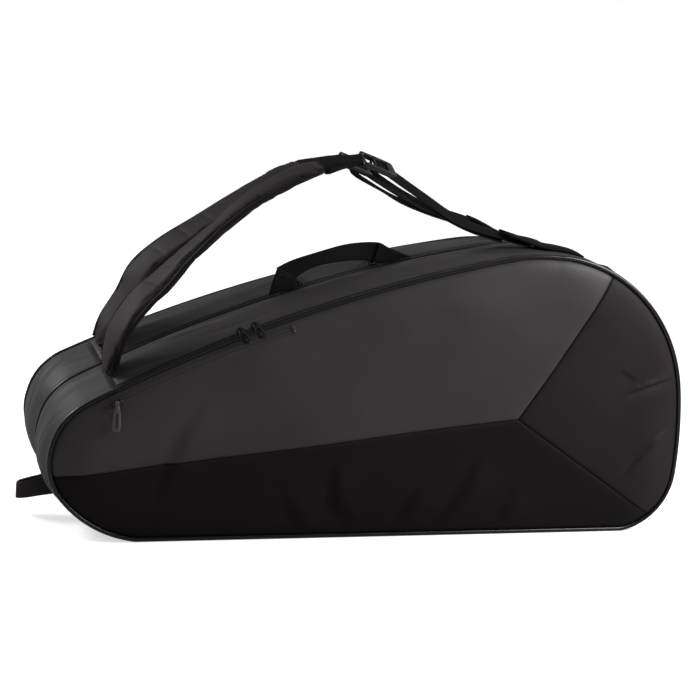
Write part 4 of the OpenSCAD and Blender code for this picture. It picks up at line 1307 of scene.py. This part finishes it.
def strap_webbing(which, y, start, drop, body):
    """Adjusting webbing from the lock's middle bar to the round top, and its loose tail below it"""
    end = on_top(y, 90.0, CROWN - (0, drop), CROWN_R, 3.6)
    under = start + np.array([LOCK_MIDDLE_BAR, 0, -3.1])
    first = under + np.array([4.0, 0, -4.0])
    hang = [first + (end - first) * (u, u, v) for u, v in zip(WEB_AT, WEB_FALL[which])]
    path = resampled(np.concatenate([[under], smooth_path([first, *hang, end], 80)]), 70)
    t = np.linspace(0, 1, len(path))
    tilts = np.interp(t, [0, 0.08, 0.6, 0.92, 1], [LOCK_ROLL, 24, 21, 6, 2])
    wide = np.interp(t, [0, 0.95, 1], [WEB_W, WEB_W, WEB_W - 3])
    # The strap webbing carries painted shade: it is coloured darker than the handle's for the stronger
    # light on it
    obj = ribbon(f"{which}_strap_webbing_run", path, tilts, wide, WEB_T, "strap_nylon")
    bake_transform(obj)
    declare(obj, "webbing", f"{which}_strap_webbing")
    tail_start = start + np.array([10.0, 0, -2.0])
    below = [path[k] + (0, 0, -gap) for k, gap in TAIL_GAPS]
    tail = smooth_path([tail_start, tail_start + np.array([2.0, 0, -11.0]), *below], 60)
    tilts = np.interp(np.linspace(0, 1, 60), [0, 0.3, 0.7, 1], [LOCK_ROLL, 5, 16, 18])
    # The tail carries the same painted shade as the strap webbing
    obj = ribbon(f"{which}_strap_tail", tail, tilts, WEB_W, WEB_T, "strap_nylon")
    place(obj, body, "webbing", f"{which}_strap_webbing")


def tabs(which, y, foot, tab_top, drop, body):
    """Sewn tabs: a narrow one at the low end, and a folded thick one that lifts off the round top"""
    line = resampled([foot + (-3, 0, 0.8), foot + (1.0, 0, 5), (foot + tab_top) / 2, tab_top], 20)
    low = ribbon(f"{which}_low_tab", line, 0, np.linspace(WEB_W, WEB_W - 8, 20), 3.0, "webbing")
    place(low, body, "webbing", f"{which}_strap_tabs")
    crown = CROWN - (0, drop)
    lifts = zip(TAB_TURNS, TAB_LIFTS[which])
    line = smooth_path([on_top(y, angle, crown, CROWN_R, out) for angle, out in lifts], 40)
    thick = np.interp(np.linspace(0, 1, 40), [0, 0.06, 0.8, 1], [2.4, 4.2, 4.6, 3.6])
    # The crown tab carries the strap webbing's painted shade: it is coloured darker than the handle's for
    # the stronger light on it
    high = ribbon(f"{which}_crown_tab", line, 0, WEB_W + 4, thick, "strap_nylon")
    place(high, body, "webbing", f"{which}_strap_tabs")
    rows = []
    for k in (3, 16):
        over = line[k] + np.linspace(-12, 12, 12)[:, None] * REARWARD
        up = unit(np.array([line[k][0] - crown[0], 0, line[k][2] - crown[1]]))
        rows.append((over + up * thick[k] / 2, up))
    place(stitches(f"{which}_crown_tab_stitches", rows), body, "webbing")


def boards():
    """Stiff boards of the bottom keep their shape and get a dull plastic face"""
    for node in ("front_base_board", "rear_base_board"):
        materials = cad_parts[node].data.materials
        materials.clear()
        materials.append(LOOK["base_plastic"])


TACK_ENDS = ((160.5, 152.5), (166.0, 146.5))


def seam_thread():
    """Short tack at the cloths' common seam point, and the seam across the front gusset's low end"""
    flat = np.linspace(*TACK_ENDS, 10)
    rows = [(on_edge(flat, -GUSSET_D - FRONT_CROWN - 0.6), (0, -1, 0))]
    place(stitches("front_seam_tack", rows, length=3.0, gap=0.8, radius=0.5), "front_cover", "coated_cloth")
    rows = []
    for off in (1.5, 4.0):
        spots = []
        for y in np.linspace(-GUSSET_D + 16, -4, 40):
            drop = drop_at(y)
            spots.append(on_top(y, top_angle(drop, ZIP_LEFT_X + off), top_centre(drop), TOP_R, 0.5))
        rows.append((spots, (-0.4, 0, 0.9)))
    place(stitches("front_gusset_join_stitches", rows), "core", "gusset_cloth")


# Stage, light and camera

WHITE = linear("#ffffff")
FLOOR_FAR = 6.0
FLOOR_Z = -0.0004
# Strength of the surround as the camera sees it, in reflections and as light
SURROUND = (1.0, 0.25, 0.4)
# Daylight boxes: place, aim, size and power
BOXES = {
    "key_box": ((0.76, -0.46, 0.68), (0.22, -0.1, 0.2), 0.5, 11.0),
    "left_box": ((-1.1, 0.75, 0.85), (-0.3, 0.0, 0.15), 0.4, 9.6),
    "top_box": ((0.2, 0.7, 2.2), (0.0, 0.0, 0.2), 1.4, 4.0)}


def by_ray(tree, kind, other, same):
    """Shader that differs for one kind of ray"""
    rays = add(tree, "LightPath")
    return add(tree, "MixShader", {0: rays.outputs[kind], 1: other, 2: same}).outputs["Shader"]


def stage():
    """White floor that runs out of sight, soft daylight boxes and a white surround"""
    mesh = bpy.data.meshes.new("floor")
    corners = ((-1, -1), (1, -1), (1, 1), (-1, 1))
    mesh.from_pydata([(x * FLOOR_FAR, y * FLOOR_FAR, FLOOR_Z) for x, y in corners], [], [(0, 1, 2, 3)])
    look = bpy.data.materials.new("studio_floor")
    tree = emptied(look)
    dull = {"Roughness": 0.9, "Specular IOR Level": 0.0}
    pale = add(tree, "BsdfPrincipled", {"Base Color": linear("#c0c0c0"), **dull})
    white = add(tree, "BsdfPrincipled", {
        "Base Color": WHITE, "Emission Color": WHITE, "Emission Strength": 0.6, **dull})
    mix = by_ray(tree, "Is Camera Ray", pale.outputs["BSDF"], white.outputs["BSDF"])
    add(tree, "OutputMaterial", {"Surface": mix})
    mesh.materials.append(look)
    linked("floor", mesh)
    world = bpy.data.worlds.new("surround")
    bpy.context.scene.world = world
    tree = emptied(world)
    seen, shine, light = (
        add(tree, "Background", {"Color": WHITE, "Strength": strength}).outputs["Background"]
        for strength in SURROUND)
    mix = by_ray(tree, "Is Camera Ray", by_ray(tree, "Is Glossy Ray", light, shine), seen)
    add(tree, "OutputWorld", {"Surface": mix})
    for name, (spot, aim, size, power) in BOXES.items():
        light = bpy.data.lights.new(name, "AREA")
        light.shape = "SQUARE"
        light.size = size
        light.energy = power
        lamp = linked(name, light)
        lamp.location = spot
        lamp.visible_camera = False
        lamp.rotation_euler = (Vector(aim) - Vector(spot)).to_track_quat("-Z", "Y").to_euler()


# Camera of the photograph: its place in metres, the way back from the bag to it, roll, lens and shifts
CAMERA_SPOT = (-0.6345, -1.8584, 0.7032)
CAMERA_BACK = (-0.30714, -0.91688, 0.25494)
CAMERA_ROLL = math.radians(5.48)
LENS_MM = 88.19
LENS_SHIFT = (0.00517, 0.01003)


def camera():
    """Camera above the low end's front, a little rolled"""
    back = Vector(CAMERA_BACK).normalized()
    right = Vector((0, 0, 1)).cross(back).normalized()
    up = back.cross(right)
    c = math.cos(CAMERA_ROLL)
    s = math.sin(CAMERA_ROLL)
    axes = Matrix((right * c + up * s, up * c - right * s, back)).transposed().to_4x4()
    data = bpy.data.cameras.new("camera")
    data.lens = LENS_MM
    data.sensor_width = 36.0
    data.shift_x, data.shift_y = LENS_SHIFT
    data.clip_end = 50.0
    obj = linked("camera", data)
    obj.matrix_world = Matrix.Translation(CAMERA_SPOT) @ axes
    bpy.context.scene.camera = obj


cover("front", -1, 0.0, FRONT_CROWN, FRONT_CREASES)
cover("rear", 1, REAR_DROP, BACK_CROWN, ())
cover_inside("front", -1, 0.0)
cover_inside("rear", 1, REAR_DROP)
divider()
gussets()
pipings()
main_zips()
pocket_zip()
sliders()
grab_handle()
end_loop()
strap("front", -STRAP_Y, 217.0, "core")
strap("rear", STRAP_Y, 205.0, "rear_cover")
boards()
seam_thread()
stage()
camera()
bpy.context.scene.view_settings.view_transform = "Standard"
